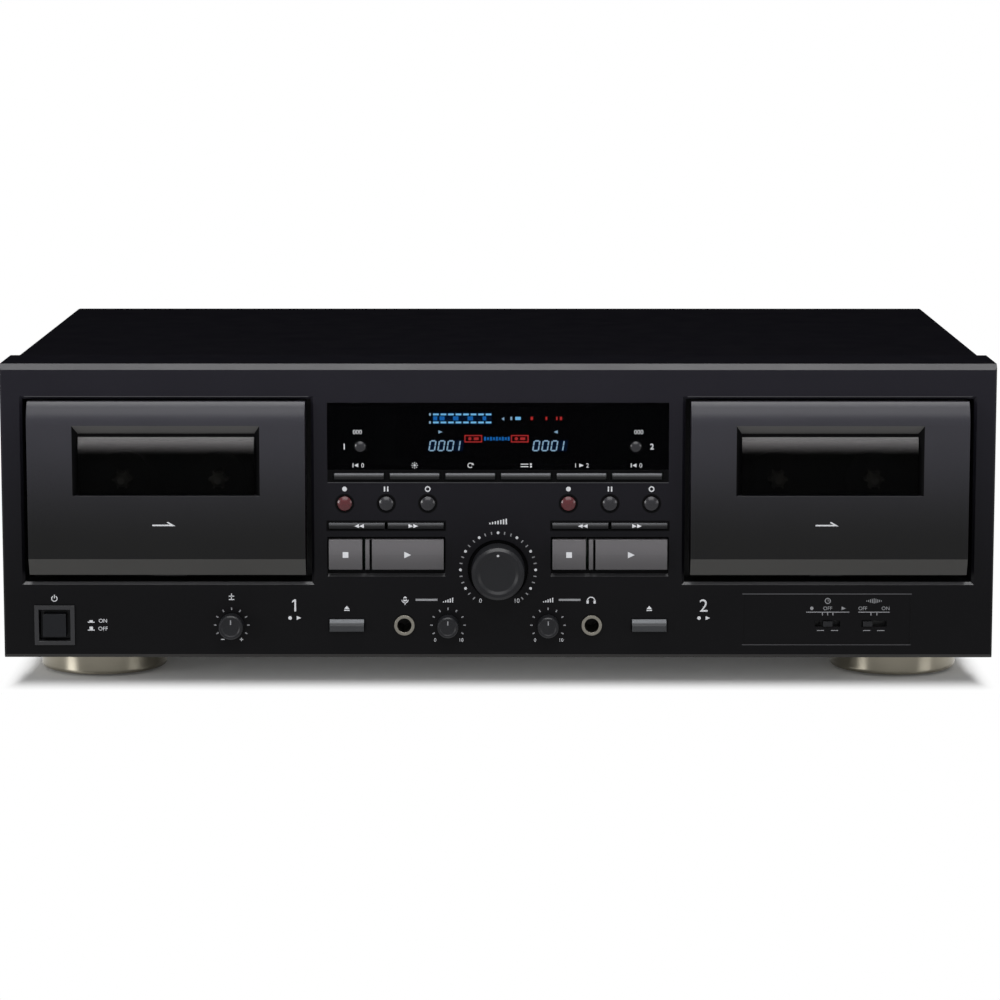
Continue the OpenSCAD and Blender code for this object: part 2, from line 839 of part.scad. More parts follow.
// A potentiometer with its bush against the panel's back and a bore for the knob's shaft
module potentiometer(shaft_d, side) {
    body_y = board_y - pot_d;
    difference() {
        union() {
            block([-side / 2, body_y, -side / 2], [side / 2, board_y, side / 2]);
            rod_y(shaft_d + 3, panel_back, body_y + 1);
        }
        rod_y(shaft_d + 2 * running_gap, panel_back - 1, board_y - 2);
    }
}

// A small key switch on the control board
module tact(x, z) {
    translate([x, 0, z]) block([-tact_w / 2, tact_y, -tact_w / 2], [tact_w / 2, board_y + 0.5, tact_w / 2]);
}

// Switches of one deck's keys
module deck_tacts(deck) {
    x = block_x(deck);
    for (place = [-1 : 1]) tact(round_x(deck, place), round_z);
    tact(x + slim_w() / 2, slim_z + slim_h / 2);
    tact(x + block_w - slim_w() / 2, slim_z + slim_h / 2);
    tact(x + stop_w / 2, tall_z + tall_h / 2);
    tact(x + block_w - play_w() / 2, tall_z + tall_h / 2);
    tact(deck_side(deck) * eject_side, low_z);
    tact(deck_side(deck) * reset_x, reset_z);
}

// Control board behind the panel, with its display tube, switches and level controls
module control_board() {
    tube_half = display_w / 2 - tube_in;
    socket_half = tube_half - tube_low;
    block([-board_w / 2, board_y, board_z], [board_w / 2, board_y + board_t, board_top]);
    block([-tube_half, tube_y, display_z + tube_low], [tube_half, tube_y + tube_t, display_top - 3]);
    block([-socket_half, tube_y + tube_t - 1, display_z + 6],
        [socket_half, board_y + 0.5, display_top - 5]);
    translate([0, 0, record_knob_z]) potentiometer(record_shaft_d, record_pot_w);
    for (side = [-1, 1]) translate([side * level_side, 0, low_z]) potentiometer(level_shaft_d, pot_w);
    for (deck = [1, 2]) deck_tacts(deck);
    for (place = [1 : 6]) tact(function_x(place), function_top - function_h / 2);
}

// Slide switch bodies on their own small board
module switch_board() {
    x = (timer_side + noise_side) / 2;
    half = switch_post_side + 3;
    body = switch_slot_w / 2 + 2.4;
    body_h = switch_slot_h / 2 + 2.1;
    block([x - half, board_y, switch_z - 7], [x + half, board_y + board_t, switch_z + 7]);
    for (side = [timer_side, noise_side])
        block([side - body, switch_body_y, switch_z - body_h],
            [side + body, board_y + 0.5, switch_z + body_h]);
}

// Main board with its reservoir capacitors and heat sink
module main_board() {
    top = main_board_z + board_t;
    fins = 7;
    sink_w = (fins - 1) * fin_pitch + fin_t;
    spine_y = sink_y + sink_d / 2 - spine_t / 2;
    block([-main_left, -main_front, main_board_z], [main_right, main_back, top]);
    for (place = [0 : 3])
        translate([place * reservoir_pitch - reservoir_x, reservoir_y, main_board_z])
            cylinder(h = reservoir_h, d = reservoir_d);
    for (place = [0 : fins - 1]) translate([sink_x + place * fin_pitch, 0, 0])
        block([0, sink_y, main_board_z], [fin_t, sink_y + sink_d, top + sink_h]);
    block([sink_x, spine_y, main_board_z], [sink_x + sink_w, spine_y + spine_t, top + sink_h]);
}

module circuit_boards() {
    color("#2e5a3a") {
        control_board();
        switch_board();
        main_board();
        translate([pitch_x, 0, low_z]) {
            potentiometer(level_shaft_d, pot_w);
            block([-pitch_board_w / 2, board_y, -pitch_board_h / 2],
                [pitch_board_w / 2, board_y + board_t, pitch_board_h / 2]);
        }
        translate([power_x, 0, 0]) {
            half = power_switch_w / 2;
            switch_back = power_switch_y + power_switch_d;
            block([-half, power_switch_y, low_z - half], [half, switch_back, low_z + half]);
            block([-half, power_switch_y + half, pan_top], [half, switch_back, low_z]);
        }
    }
}

module power_transformer() {
    color("#5c4a3a") translate([-transformer_x, transformer_y, pan_top]) {
        block([-plate_w / 2, -plate_d / 2, 0], [plate_w / 2, plate_d / 2, plate_t]);
        block([-core_w / 2, -core_d / 2, 0], [core_w / 2, core_d / 2, core_h]);
        block([-coil_w / 2, -coil_d / 2, coil_edge], [coil_w / 2, coil_d / 2, core_h - coil_edge]);
    }
}

module rear_sockets() {
    color("#c9c9c6") difference() {
        translate([socket_side, 0, socket_z]) {
            along_y(pan_back - socket_block_d, pan_back) square(socket_pitch + socket_block, center = true);
            for (column = [-1, 1], row = [-1, 1])
                translate([column * socket_pitch / 2, 0, row * socket_pitch / 2]) {
                    rod_y(socket_d + socket_collar, pan_back - 1, rear_y);
                    rod_y(socket_d, rear_y - 1, rear_y + socket_out);
                }
        }
        for (column = [-1, 1], row = [-1, 1])
            translate([socket_side + column * socket_pitch / 2, 0, socket_z + row * socket_pitch / 2])
                rod_y(socket_bore_d, pan_back - socket_bore_l, rear_y + socket_out + 1);
    }
}

module mains_inlet() {
    front = rear_y + inlet_lip;
    recess = rear_y - inlet_recess;
    lobe = inlet_lobe_d / 2;
    color("#101010") translate([inlet_x, 0, inlet_z]) {
        difference() {
            union() {
                along_y(rear_y, front)
                    square([inlet_w + 2 * inlet_flange, inlet_h + 2 * inlet_flange], center = true);
                along_y(rear_y - inlet_d, rear_y + 1) square([inlet_w, inlet_h], center = true);
            }
            for (side = [-1, 1])
                translate([side * inlet_pin_side, 0, 0]) rod_y(inlet_lobe_d, recess, front + 1);
            block([-inlet_pin_side, recess, -lobe], [inlet_pin_side, front + 1, lobe]);
        }
        for (side = [-1, 1])
            translate([side * inlet_pin_side, 0, 0]) rod_y(inlet_pin_d, recess - 1, rear_y - 1);
    }
}

module front_sockets() {
    nose_y = panel_y - jack_out;
    half = jack_body / 2;
    color("#bdbcb6") for (side = [-1, 1]) translate([side * jack_side, 0, low_z]) difference() {
        union() {
            rod_y(jack_bush_d, nose_y, jack_body_y + 1);
            block([-half, jack_body_y, -half], [half, board_y, half]);
        }
        rod_y(jack_bore_d, nose_y - 1, board_y - 2);
    }
}

// A bush on the back of a transport plate, for a shaft
module bush(d) {
    rod_y(d + 2 * bush_wall, frame_y + frame_t / 2, frame_y + frame_t + bush_l);
}

// The hinge arm that stands on the front of a transport plate
module hinge_arm() {
    difference() {
        union() {
            block([0, hinge_y, hinge_z - hinge_nose_r],
                [hinge_arm_t, frame_y - fit_gap, hinge_z + hinge_nose_r]);
            translate([0, hinge_y, hinge_z]) rod_x(2 * hinge_nose_r, 0, hinge_arm_t);
        }
        translate([0, hinge_y, hinge_z]) rod_x(hinge_pin_d + 2 * running_gap, -1, hinge_arm_t + 1);
    }
}

// A headed stud that guides the head bridge
module bridge_stud() {
    rod_y(stud_d, bridge_y - run_clear, frame_y + frame_t / 2);
    rod_y(stud_d + bush_wall, bridge_y - run_clear - stud_head, bridge_y - run_clear);
}

// One transport frame, standing on the pan, seen from its own middle
module transport_frame() {
    half = frame_w / 2;
    difference() {
        union() {
            block([-half, frame_y, frame_z], [half, frame_y + frame_t, frame_top]);
            for (side = [-1, 1]) {
                translate([side * (half - frame_t / 2) - frame_t / 2, 0, 0])
                    block([0, frame_y, frame_z + 10], [frame_t, frame_back, frame_top - 3]);
                translate([side * frame_foot_x - frame_foot_w / 2, 0, 0]) {
                    block([0, frame_y, pan_top], [frame_foot_w, frame_y + frame_t, frame_z + 1]);
                    block([0, frame_y, pan_top], [frame_foot_w, frame_y + frame_foot_d, pan_top + frame_t]);
                }
                translate([side * reel_pitch / 2, 0, reel_z]) bush(reel_shaft_d);
                translate([side * stud_x, 0, stud_z]) bridge_stud();
            }
            translate([capstan_side, 0, capstan_z]) bush(capstan_d);
            block([-half, frame_back - frame_t, capstan_z - 8], [half, frame_back, capstan_z + 8]);
        }
        for (side = [-1, 1])
            translate([side * reel_pitch / 2, 0, reel_z])
                rod_y(reel_shaft_d + 2 * running_gap, frame_y - 1, frame_y + frame_t + bush_l + 1);
        translate([capstan_side, 0, capstan_z])
            rod_y(capstan_d + 2 * running_gap, frame_y - 1, frame_y + frame_t + bush_l + 1);
    }
    for (side = [-1, 1])
        translate([side * (hinge_arm_x - hinge_arm_t / 2) - hinge_arm_t / 2, 0, 0]) hinge_arm();
}

module transport_frames() {
    color("#a9acae") for (deck = [1, 2]) translate([deck_x(deck), 0, 0]) transport_frame();
}

module drive_motors() {
    color("#b4b6b8") for (deck = [1, 2])
        translate([deck_x(deck) - motor_side, frame_y + frame_t, reel_z + motor_up]) {
            rod_y(motor_d, 0, motor_l);
            rod_y(motor_d / 3, motor_l - 1, motor_l + motor_boss_l);
        }
}

// Side view of a door, drawn in by a wall for its inside
module door_outline(wall) {
    front = door_y + wall;
    foot = wall == 0 ? 0 : 1;
    back = door_back + foot;
    curve_z = door_top - door_curve_h;
    polygon([
        [back, door_z - foot], [front + bevel_in, door_z - foot], [front + bevel_in, door_z],
        [front, door_z + bevel_h], [front, curve_z], [back, curve_z]
    ]);
    intersection() {
        translate([front, curve_z - 0.01]) square([back - front, door_curve_h - wall + 0.01]);
        translate([door_y + door_curve_r, curve_z]) circle(r = door_curve_r - wall, $fn = 128);
    }
}

module door(deck) {
    half = door_w / 2;
    inner = half - door_side;
    glass = [glass_w / 2, glass_top];
    color("#232428") translate([deck_x(deck), 0, 0]) {
        difference() {
            along_x(-half, half) door_outline(0);
            along_x(-inner, inner) door_outline(door_wall);
            mouth(door_y, door_mid_y + 0.01, [-glass_w / 2, glass_z], glass,
                [-glass_w / 2 - slope_side, glass_z - slope_bottom], glass + [slope_side, slope_top]);
        }
        for (side = [-1, 1])
            translate([side * (hinge_arm_x - hinge_arm_t / 2 + hinge_side_gap / 2), hinge_y, hinge_z])
                rod_x(hinge_pin_d, -hinge_arm_t / 2 - hinge_side_gap, hinge_arm_t / 2 + hinge_side_gap);
    }
}

// Smoked pane that leans back at its top, on a hidden rim behind the door's front
module door_window(deck) {
    half = glass_w / 2;
    front = door_mid_y - pane_t;
    curve_z = glass_top - pane_drop - pane_curve_h;
    color("#0b0c0e") translate([deck_x(deck), 0, 0]) {
        block([-half - window_rim, door_mid_y, glass_z - window_rim],
            [half + window_rim, door_mid_y + window_rim_t, glass_top + window_rim]);
        along_x(fit_gap - half, half - fit_gap) {
            translate([front, glass_z + fit_gap])
                square([pane_t + window_rim_t / 2, curve_z - glass_z - fit_gap]);
            intersection() {
                translate([front, curve_z - 0.01]) square([pane_t + window_rim_t / 2, pane_curve_h + 0.01]);
                translate([front + pane_curve_r, curve_z]) circle(r = pane_curve_r, $fn = 128);
            }
        }
    }
}

// Folded sheet holder behind a door: front plate, two channels and two tabs for the cassette to stand on
module cassette_holder(deck) {
    inner = pocket_w / 2;
    outer = inner + holder_t;
    ear = door_w / 2 - sheet_gap;
    view_z = glass_z - 3;
    channel = 5;
    color("#6f7275") translate([deck_x(deck), 0, 0]) difference() {
        union() {
            block([-outer, door_back, cassette_z - holder_t], [outer, pocket_y, holder_top]);
            block([-ear, door_back, hinge_z + ear_up], [ear, pocket_y, holder_top]);
            for (side = [-1, 1]) translate([side * outer, 0, 0]) mirror([side > 0 ? 1 : 0, 0, 0]) {
                block([0, door_back, cassette_z - holder_t], [holder_t, holder_back, holder_top]);
                block([0, pocket_back, cassette_z - holder_t],
                    [channel + holder_t, holder_back, holder_top]);
                block([0, door_back, cassette_z - holder_t], [2 * channel, holder_back, cassette_z]);
            }
        }
        block([-glass_w / 2 - 2, door_back - 1, view_z], [glass_w / 2 + 2, pocket_y + 1, holder_top + 1]);
    }
}

// Reel table and splined spindle on its shaft
module reel(deck, side) {
    spindle_y = pocket_y + spindle_in;
    color("#d8d6cf") translate([deck_x(deck) + side * reel_pitch / 2, 0, reel_z]) {
        rod_y(table_d, table_y, table_y + table_t);
        turned_y() polygon([
            [0, spindle_y], [spindle_d / 4, spindle_y], [spindle_d / 2, spindle_y + spindle_point],
            [spindle_d / 2, table_y + table_t / 2], [0, table_y + table_t / 2]
        ]);
        for (turn = [0 : 60 : 300]) rotate([0, turn, 0])
            block([0, spindle_y + spindle_in, -wing_t / 2],
                [spindle_d / 2 + wing_out, table_y + table_t / 2, wing_t / 2]);
        rod_y(reel_shaft_d, table_y + table_t / 2, frame_y + frame_t + bush_l + 0.5);
    }
}

// Capstan shaft with its flywheel behind the transport plate
module flywheel(deck) {
    hub_y = frame_y + frame_t + bush_l + run_clear;
    color("#97999b") translate([deck_x(deck) + capstan_side, 0, capstan_z]) {
        rod_y(capstan_d, pocket_y + capstan_in, frame_back - frame_t - run_clear);
        rod_y(capstan_d + 2 * hub_wall, hub_y, hub_y + hub_l);
        rod_y(flywheel_d, hub_y + hub_l - rim_l, hub_y + hub_l);
    }
}

// Sliding head bridge with the tape head and the pinch roller
module head_bridge(deck) {
    slot = stud_d + 2 * run_clear;
    front = pocket_y + spindle_in;
    color("#8a8d90") translate([deck_x(deck), 0, 0]) difference() {
        union() {
            block([-bridge_w / 2, bridge_y, bridge_z], [bridge_w / 2, bridge_y + bridge_t, bridge_top]);
            block([-head_w / 2, front, cassette_z - head_low],
                [head_w / 2, bridge_y + bridge_t / 2, head_top]);
            translate([capstan_side, 0, roller_z]) {
                rod_y(roller_d, front, front + roller_l);
                rod_y(roller_d / 3, front - stud_head, bridge_y + bridge_t / 2);
            }
        }
        for (side = [-1, 1]) translate([side * stud_x, 0, stud_z]) {
            block([-slot / 2, bridge_y - 1, -bridge_travel - run_clear],
                [slot / 2, bridge_y + bridge_t + 1, 0]);
            for (z = [-bridge_travel - run_clear, 0]) translate([0, 0, z])
                rod_y(slot, bridge_y - 1, bridge_y + bridge_t + 1);
        }
    }
}

// A knob with a rounded face edge, on its own shaft
module knob(d, out, shaft_d, back) {
    r = d / 2;
    front = panel_y - out;
    edge = r / 9;
    turned_y() {
        polygon([
            [0, front + edge / 2], [r - 3 * edge, front + edge / 2], [r - 2 * edge, front],
            [r - edge, front], [r, front + edge], [r + 0.02 * out, back], [0, back]
        ]);
        translate([0, back - 1]) square([shaft_d / 2, board_y - 3 - back + 1]);
    }
}

module record_level_knob() {
    color("#222326") translate([0, 0, record_knob_z])
        knob(record_knob_d, record_knob_out, record_shaft_d, panel_y + 0.6);
}

module level_knob(x, d) {
    color("#26272a") translate([x, 0, low_z]) knob(d, level_knob_out, level_shaft_d, panel_y - 0.5);
}

module power_button() {
    cap = bezel_open - 2 * cap_gap;
    guide = bezel_open - 2 * run_clear;
    color("#202124") translate([power_x, 0, low_z]) {
        along_y(panel_y - cap_out, panel_y + 5) square(cap, center = true);
        along_y(panel_y + 4, panel_y + 11) square(guide, center = true);
        rod_y(5, panel_y + 10, power_switch_y - power_travel - run_clear);
    }
}

// A key with a rim behind the panel and a stem for its switch; lean draws back its top edge
module key(x, z, w, h, proud, lean, travel) {
    front = panel_y - proud;
    along_x(x, x + w) polygon([
        [rim_y + rim_t, z], [front + 0.3, z], [front, z + 0.3], [front, z + h / 2],
        [front + lean, z + h], [rim_y + rim_t, z + h]
    ]);
    block([x, rim_y, z - key_rim], [x + w, rim_y + rim_t, z + h + key_rim]);
    translate([x + w / 2, 0, z + h / 2]) rod_y(stem_d, rim_y, tact_y - travel - 0.2);
}

module function_key(place) {
    color("#3a3b3f")
        key(function_x(place) - function_w / 2, function_top - function_h, function_w, function_h,
            slim_proud, 0.8, slim_travel);
}

module slim_key(x) {
    color("#4a4a4e") key(x, slim_z, slim_w(), slim_h, slim_proud, 0.8, slim_travel);
}

module stop_key(deck) {
    color("#646463") key(block_x(deck), tall_z, stop_w, tall_h, tall_proud, 0.5, tall_travel);
}

module play_key(deck) {
    x = block_x(deck) + stop_w + pair_gap;
    color("#646463") difference() {
        key(x, tall_z, play_w(), tall_h, tall_proud, 0.5, tall_travel);
        block([x + bar_w, panel_y - tall_proud - 1, tall_z - 1],
            [x + bar_w + bar_groove, panel_y, tall_z + tall_h + 1]);
    }
}

module eject_key(deck) {
    color("#3c3c40")
        key(deck_side(deck) * eject_side - eject_w / 2, low_z - eject_h / 2, eject_w, eject_h,
            eject_proud, 1.8, eject_travel);
}

// A domed button with a rim behind what it passes through
module dome_button(x, z, d, proud, rim, travel) {
    front = panel_y - proud;
    dome_r = 0.9 * d;
    translate([x, 0, z]) {
        intersection() {
            rod_y(d, front - 1, rim + rim_t);
            union() {
                translate([0, front + dome_r, 0]) sphere(r = dome_r);
                rod_y(d + 1, front + dome_r / 2, rim + rim_t);
            }
        }
        rod_y(d + 2.4, rim, rim + rim_t);
        rod_y(stem_d, rim, tact_y - travel - 0.2);
    }
}

module round_button(deck, place, paint) {
    color(paint) dome_button(round_x(deck, place), round_z, round_d, round_proud, rim_y, round_travel);
}

module counter_reset(deck) {
    color("#55565a")
        dome_button(deck_side(deck) * reset_x, reset_z, reset_d, round_proud,
            panel_y + display_t + run_clear, round_travel);
}

// A slide switch's tab, with a plate that bears on the panel's back and a foot in the switch
module switch_tab(x) {
    w = tab_w;
    h = switch_slot_h - 2 * run_clear;
    color("#2c2d30") translate([x, 0, switch_z]) {
        block([-w / 2, panel_y - 0.6, -h / 2], [w / 2, rim_y + rim_t, h / 2]);
        block([-w / 2 - 1, rim_y, -h / 2 - key_rim], [w / 2 + 1, rim_y + rim_t, h / 2 + key_rim]);
        block([-w / 4, rim_y, -h / 4], [w / 4, switch_body_y - run_clear, h / 4]);
    }
}

front_panel();
chassis_pan();
top_cover();
rear_panel();
feet();
case_screws();
power_bezel();
display_window();
circuit_boards();
power_transformer();
rear_sockets();
mains_inlet();
front_sockets();
transport_frames();
drive_motors();
door(1);  // door_1
door(2);  // door_2
door_window(1);  // door_window_1
door_window(2);  // door_window_2
cassette_holder(1);  // cassette_holder_1
cassette_holder(2);  // cassette_holder_2
reel(1, -1);  // supply_reel_1
reel(2, -1);  // supply_reel_2
reel(1, 1);  // takeup_reel_1
reel(2, 1);  // takeup_reel_2
flywheel(1);  // flywheel_1
flywheel(2);  // flywheel_2
head_bridge(1);  // head_bridge_1
head_bridge(2);  // head_bridge_2
record_level_knob();
level_knob(pitch_x, pitch_knob_d);  // pitch_knob
level_knob(-level_side, level_knob_d);  // mic_level_knob
level_knob(level_side, level_knob_d);  // phones_level_knob
power_button();
eject_key(1);  // eject_key_1
eject_key(2);  // eject_key_2
slim_key(block_x(1));  // rewind_key_1
slim_key(block_x(2));  // rewind_key_2
slim_key(block_x(1) + block_w - slim_w());  // forward_key_1
slim_key(block_x(2) + block_w - slim_w());  // forward_key_2
stop_key(1);  // stop_key_1
stop_key(2);  // stop_key_2
play_key(1);  // play_key_1
play_key(2);  // play_key_2
round_button(1, -1, "#8f2a26");  // record_button_1
round_button(2, -1, "#8f2a26");  // record_button_2
round_button(1, 0, "#3a3b3f");  // pause_button_1
round_button(2, 0, "#3a3b3f");  // pause_button_2
round_button(1, 1, "#3a3b3f");  // mute_button_1
round_button(2, 1, "#3a3b3f");  // mute_button_2
counter_reset(1);  // counter_reset_1
counter_reset(2);  // counter_reset_2
function_key(1);  // function_key_1
function_key(2);  // function_key_2
function_key(3);  // function_key_3
function_key(4);  // function_key_4
function_key(5);  // function_key_5
function_key(6);  // function_key_6
switch_tab(timer_side);  // timer_switch
switch_tab(noise_side - noise_offset);  // noise_switch
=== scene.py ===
"""Looks of a double cassette deck: finishes, printed marks, a lit display and a plain studio."""

from __future__ import annotations

import logging
import math
from dataclasses import dataclass, field
from enum import Enum
from typing import Callable, Sequence

import bmesh
import bpy
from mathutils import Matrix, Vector

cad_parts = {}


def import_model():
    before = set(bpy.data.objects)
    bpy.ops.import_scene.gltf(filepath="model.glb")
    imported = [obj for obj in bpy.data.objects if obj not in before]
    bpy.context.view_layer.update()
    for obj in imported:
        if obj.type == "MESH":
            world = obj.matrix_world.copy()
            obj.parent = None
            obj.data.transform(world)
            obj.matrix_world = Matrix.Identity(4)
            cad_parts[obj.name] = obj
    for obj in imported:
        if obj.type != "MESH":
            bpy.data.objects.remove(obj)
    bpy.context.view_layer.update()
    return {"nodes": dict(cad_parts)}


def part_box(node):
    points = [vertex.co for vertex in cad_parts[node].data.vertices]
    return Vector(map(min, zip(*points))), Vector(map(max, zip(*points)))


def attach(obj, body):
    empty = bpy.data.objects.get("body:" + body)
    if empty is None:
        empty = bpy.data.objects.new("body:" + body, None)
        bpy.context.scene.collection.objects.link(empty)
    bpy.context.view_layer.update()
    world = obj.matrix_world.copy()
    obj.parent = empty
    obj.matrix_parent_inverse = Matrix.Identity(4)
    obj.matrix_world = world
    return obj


LOG = logging.getLogger("cassette_deck")

# Lengths are in millimetres and angles in degrees, apart from the studio's, which are in metres.
MM = 0.001
PRINT_LIFT = 0.05
BUMP_DEPTH = 0.05
STREAK_TURN = 0.25
# Least share of a face's normal along an axis: for a face that looks that way, leans that way or slopes.
FACING = 0.9
LEANING = 0.5
SLOPED = 0.3
# Distances within which a face lies on a plane and two corners are one.
TOUCH = 0.1
WELD = 0.01
WHITE = (1.0, 1.0, 1.0, 1.0)
DUST_TINT = (0.42, 0.41, 0.39, 1.0)
DECKS = (1, 2)
SIDES = (-1, 1)
QUAD = ((-1, -1), (1, -1), (1, 1), (-1, 1))
ARC_STEP = 12.0
LEAST_ARC_STEPS = 6
FUNCTION_KEYS = tuple(f"function_key_{place}" for place in range(1, 7))

Point = tuple[float, float]
Spot = tuple[float, float, float]
Colour = tuple[float, float, float]
FacePick = Callable[[Vector, Vector], int]


class Texture(Enum):
    """Ways in which a surface was made, each with its own fine pattern."""

    GRAIN = "grain"
    BRUSHED = "brushed"
    TURNED = "turned"


class Way(Enum):
    """Directions in which a printed arrow head points, in degrees."""

    RIGHT = 0
    UP = 90
    LEFT = 180


@dataclass(frozen=True)
class Finish:
    """One finish: its colour, gloss, the fine detail that its real surface shows, and any painted shade.

    Attributes:
        grain: Features of the fine pattern per metre.
        spread: Share by which the colour varies.
        rough_spread: Amount by which the roughness varies.
        relief: Strength of the fine bump.
        worn: Colour that shows along rubbed edges.
        wear: How far the edges are rubbed, from 0 to 1.
        edge: Width of the rounded edges in millimetres.
        dust: How much dust lies on faces that look up.
        painted_shade: Painted shade: two heights in millimetres and the share of the colour that is left at
            the lower one, so that the piece darkens towards its bottom as if lit from above.
        streak: How far fine turning marks draw a reflection out upwards, from 0 to 1.
    """

    name: str
    colour: Colour
    roughness: float
    metallic: float = 0.0
    specular: float = 0.5
    coat: float = 0.0
    alpha: float = 1.0
    grain: float = 2600.0
    spread: float = 0.16
    rough_spread: float = 0.12
    relief: float = 0.10
    worn: Colour = (0.09, 0.09, 0.095)
    wear: float = 0.25
    edge: float = 0.3
    dust: float = 0.01
    texture: Texture = Texture.GRAIN
    painted_shade: tuple[float, float, float] = (0.0, 1.0, 1.0)
    streak: float = 0.0


@dataclass(frozen=True)
class Glow:
    """Light of one colour on the display tube, slightly uneven as a phosphor is.

    Attributes:
        grain: Features of the fine pattern per metre.
        spread: Share by which the colour varies.
        rough_spread: Amount by which the roughness varies.
        unlit_share: Share of the colour that the phosphor has of its own.
    """

    name: str
    colour: Colour
    strength: float
    grain: float = 1800.0
    spread: float = 0.35
    roughness: float = 0.6
    rough_spread: float = 0.1
    unlit_share: float = 0.2


# The panel's plastic darkens towards its bottom and its top is painted darker still: painted shade. Its
# bevels are painted lighter: painted highlights.
PANEL = Finish("panel_satin_black", (0.0072, 0.0068, 0.0100), 0.42, specular=0.085, painted_shade=(30.0, 145.0, 0.12))
PANEL_TOP = Finish("panel_top_painted_shade", (0.0026, 0.0025, 0.0036), 0.85, specular=0.0, dust=0.004)
PANEL_EDGE = Finish("panel_edge_painted_highlight", (0.0110, 0.0106, 0.0130), 0.40, specular=0.225)
PANEL_FOOT = Finish("panel_lower_edge_painted_highlight", (0.0070, 0.0066, 0.0062), 0.45, specular=0.16)
# The door's colour darkens towards its bottom: painted shade.
DOOR = Finish("door_satin_black", (0.0180, 0.0177, 0.0225), 0.32, specular=0.19, painted_shade=(64.0, 124.0, 0.03))
# Facets of the door that face down are painted a lighter grey: a painted reflection of the floor.
DOOR_FACET_REFLECTION = Finish("door_facet_painted_reflection", (0.0185, 0.018, 0.0165), 0.46, metallic=0.25, grain=1800.0,
                   texture=Texture.BRUSHED, worn=(0.16, 0.16, 0.15))
WINDOW_SLOPE_REFLECTION = Finish("window_slope_painted_reflection", (0.027, 0.0262, 0.0255), 0.46, worn=(0.16, 0.16, 0.15))
# Lips of openings that face up are painted lighter: painted highlights.
LIP = Finish("aperture_lip", (0.024, 0.024, 0.026), 0.40, specular=0.36)
LIP_DIM = Finish("key_lip_painted_highlight", (0.010, 0.010, 0.011), 0.45, specular=0.25)
# The cover's top is painted darker than its sides, which share the same paint: painted shade.
COVER = Finish("cover_top_painted_shade", (0.0022, 0.0021, 0.0030), 0.72, specular=0.0, grain=1400.0, relief=0.22,
               dust=0.004)
COVER_SIDE = Finish("cover_side_paint", (0.0062, 0.0061, 0.0072), 0.62, specular=0.16, grain=1400.0,
                    relief=0.22)
REAR = Finish("rear_fine_paint", (0.007, 0.007, 0.008), 0.62, specular=0.3, grain=1400.0, relief=0.2)
FOOT = Finish("foot_champagne", (0.30, 0.278, 0.225), 0.38, metallic=1.0, grain=2200.0,
              texture=Texture.TURNED, worn=(0.40, 0.37, 0.31), wear=0.4, relief=0.01, spread=0.10,
              rough_spread=0.03, streak=0.92)
PAD = Finish("pad_felt", (0.022, 0.021, 0.020), 0.95, specular=0.1, grain=3400.0, spread=0.6, relief=0.5)
SCREW = Finish("screw_black_oxide", (0.012, 0.012, 0.013), 0.38, metallic=0.7,
               worn=(0.22, 0.21, 0.20), wear=0.5)
DRIVE = Finish("screw_drive_shadow", (0.002, 0.002, 0.002), 0.8, specular=0.1)
BEZEL = Finish("bezel_grey", (0.006, 0.006, 0.0075), 0.40, specular=0.36, worn=(0.2, 0.2, 0.2))
LENS = Finish("lens_smoked", (0.0006, 0.0006, 0.0008), 0.10, specular=0.01, alpha=0.80, spread=0.3,
              relief=0.01, rough_spread=0.03, wear=0.1)
# The pane's pale colour shows only near its top and fades to black below: a painted highlight for light on
# its curved top.
PANE = Finish("pane_smoked_painted_highlight", (0.285, 0.278, 0.280), 0.16, specular=0.02, alpha=0.70, spread=0.1, relief=0.01,
              rough_spread=0.04, wear=0.0, dust=0.0, painted_shade=(105.8, 119.0, 0.002))
PANE_BACK = Finish("pane_back_smoked", (0.0020, 0.0020, 0.0022), 0.3, specular=0.01, alpha=0.64, relief=0.0)
# Black for places that lie in shade: the pane's rim, recess walls, a key's groove and the gaps round keys;
# painted shade.
SHADE_BLACK = Finish("painted_shade_black", (0.0020, 0.0020, 0.0022), 0.6, specular=0.02)
BOARD = Finish("board_green", (0.02, 0.085, 0.045), 0.42, coat=0.3, grain=900.0, spread=0.5)
COMPONENT = Finish("component_dark", (0.012, 0.012, 0.014), 0.45)
TUBE = Finish("display_tube_glass", (0.0015, 0.0015, 0.0022), 0.10, relief=0.0, spread=0.3, rough_spread=0.03)
CORE = Finish("core_varnish", (0.085, 0.055, 0.032), 0.55, grain=900.0, spread=0.45)
ZINC = Finish("zinc_plate", (0.50, 0.50, 0.49), 0.36, metallic=1.0, grain=420.0, spread=0.35,
              rough_spread=0.2, worn=(0.62, 0.62, 0.60), relief=0.03)
FRAME = Finish("frame_black_oxide", (0.020, 0.020, 0.021), 0.5, metallic=0.6, grain=900.0, spread=0.3)
HOLDER = Finish("holder_black_steel", (0.010, 0.010, 0.011), 0.5, metallic=0.4, texture=Texture.BRUSHED)
STEEL = Finish("brushed_steel", (0.46, 0.46, 0.47), 0.33, metallic=1.0, grain=2400.0, texture=Texture.BRUSHED,
               worn=(0.62, 0.62, 0.62))
HEAD = Finish("head_polished", (0.66, 0.65, 0.62), 0.14, metallic=1.0, spread=0.08, relief=0.01)
RUBBER = Finish("roller_rubber", (0.010, 0.010, 0.010), 0.82, specular=0.2, spread=0.3)
NICKEL = Finish("socket_nickel", (0.30, 0.27, 0.23), 0.24, metallic=1.0, spread=0.14, relief=0.02,
                worn=(0.66, 0.58, 0.44), texture=Texture.TURNED)
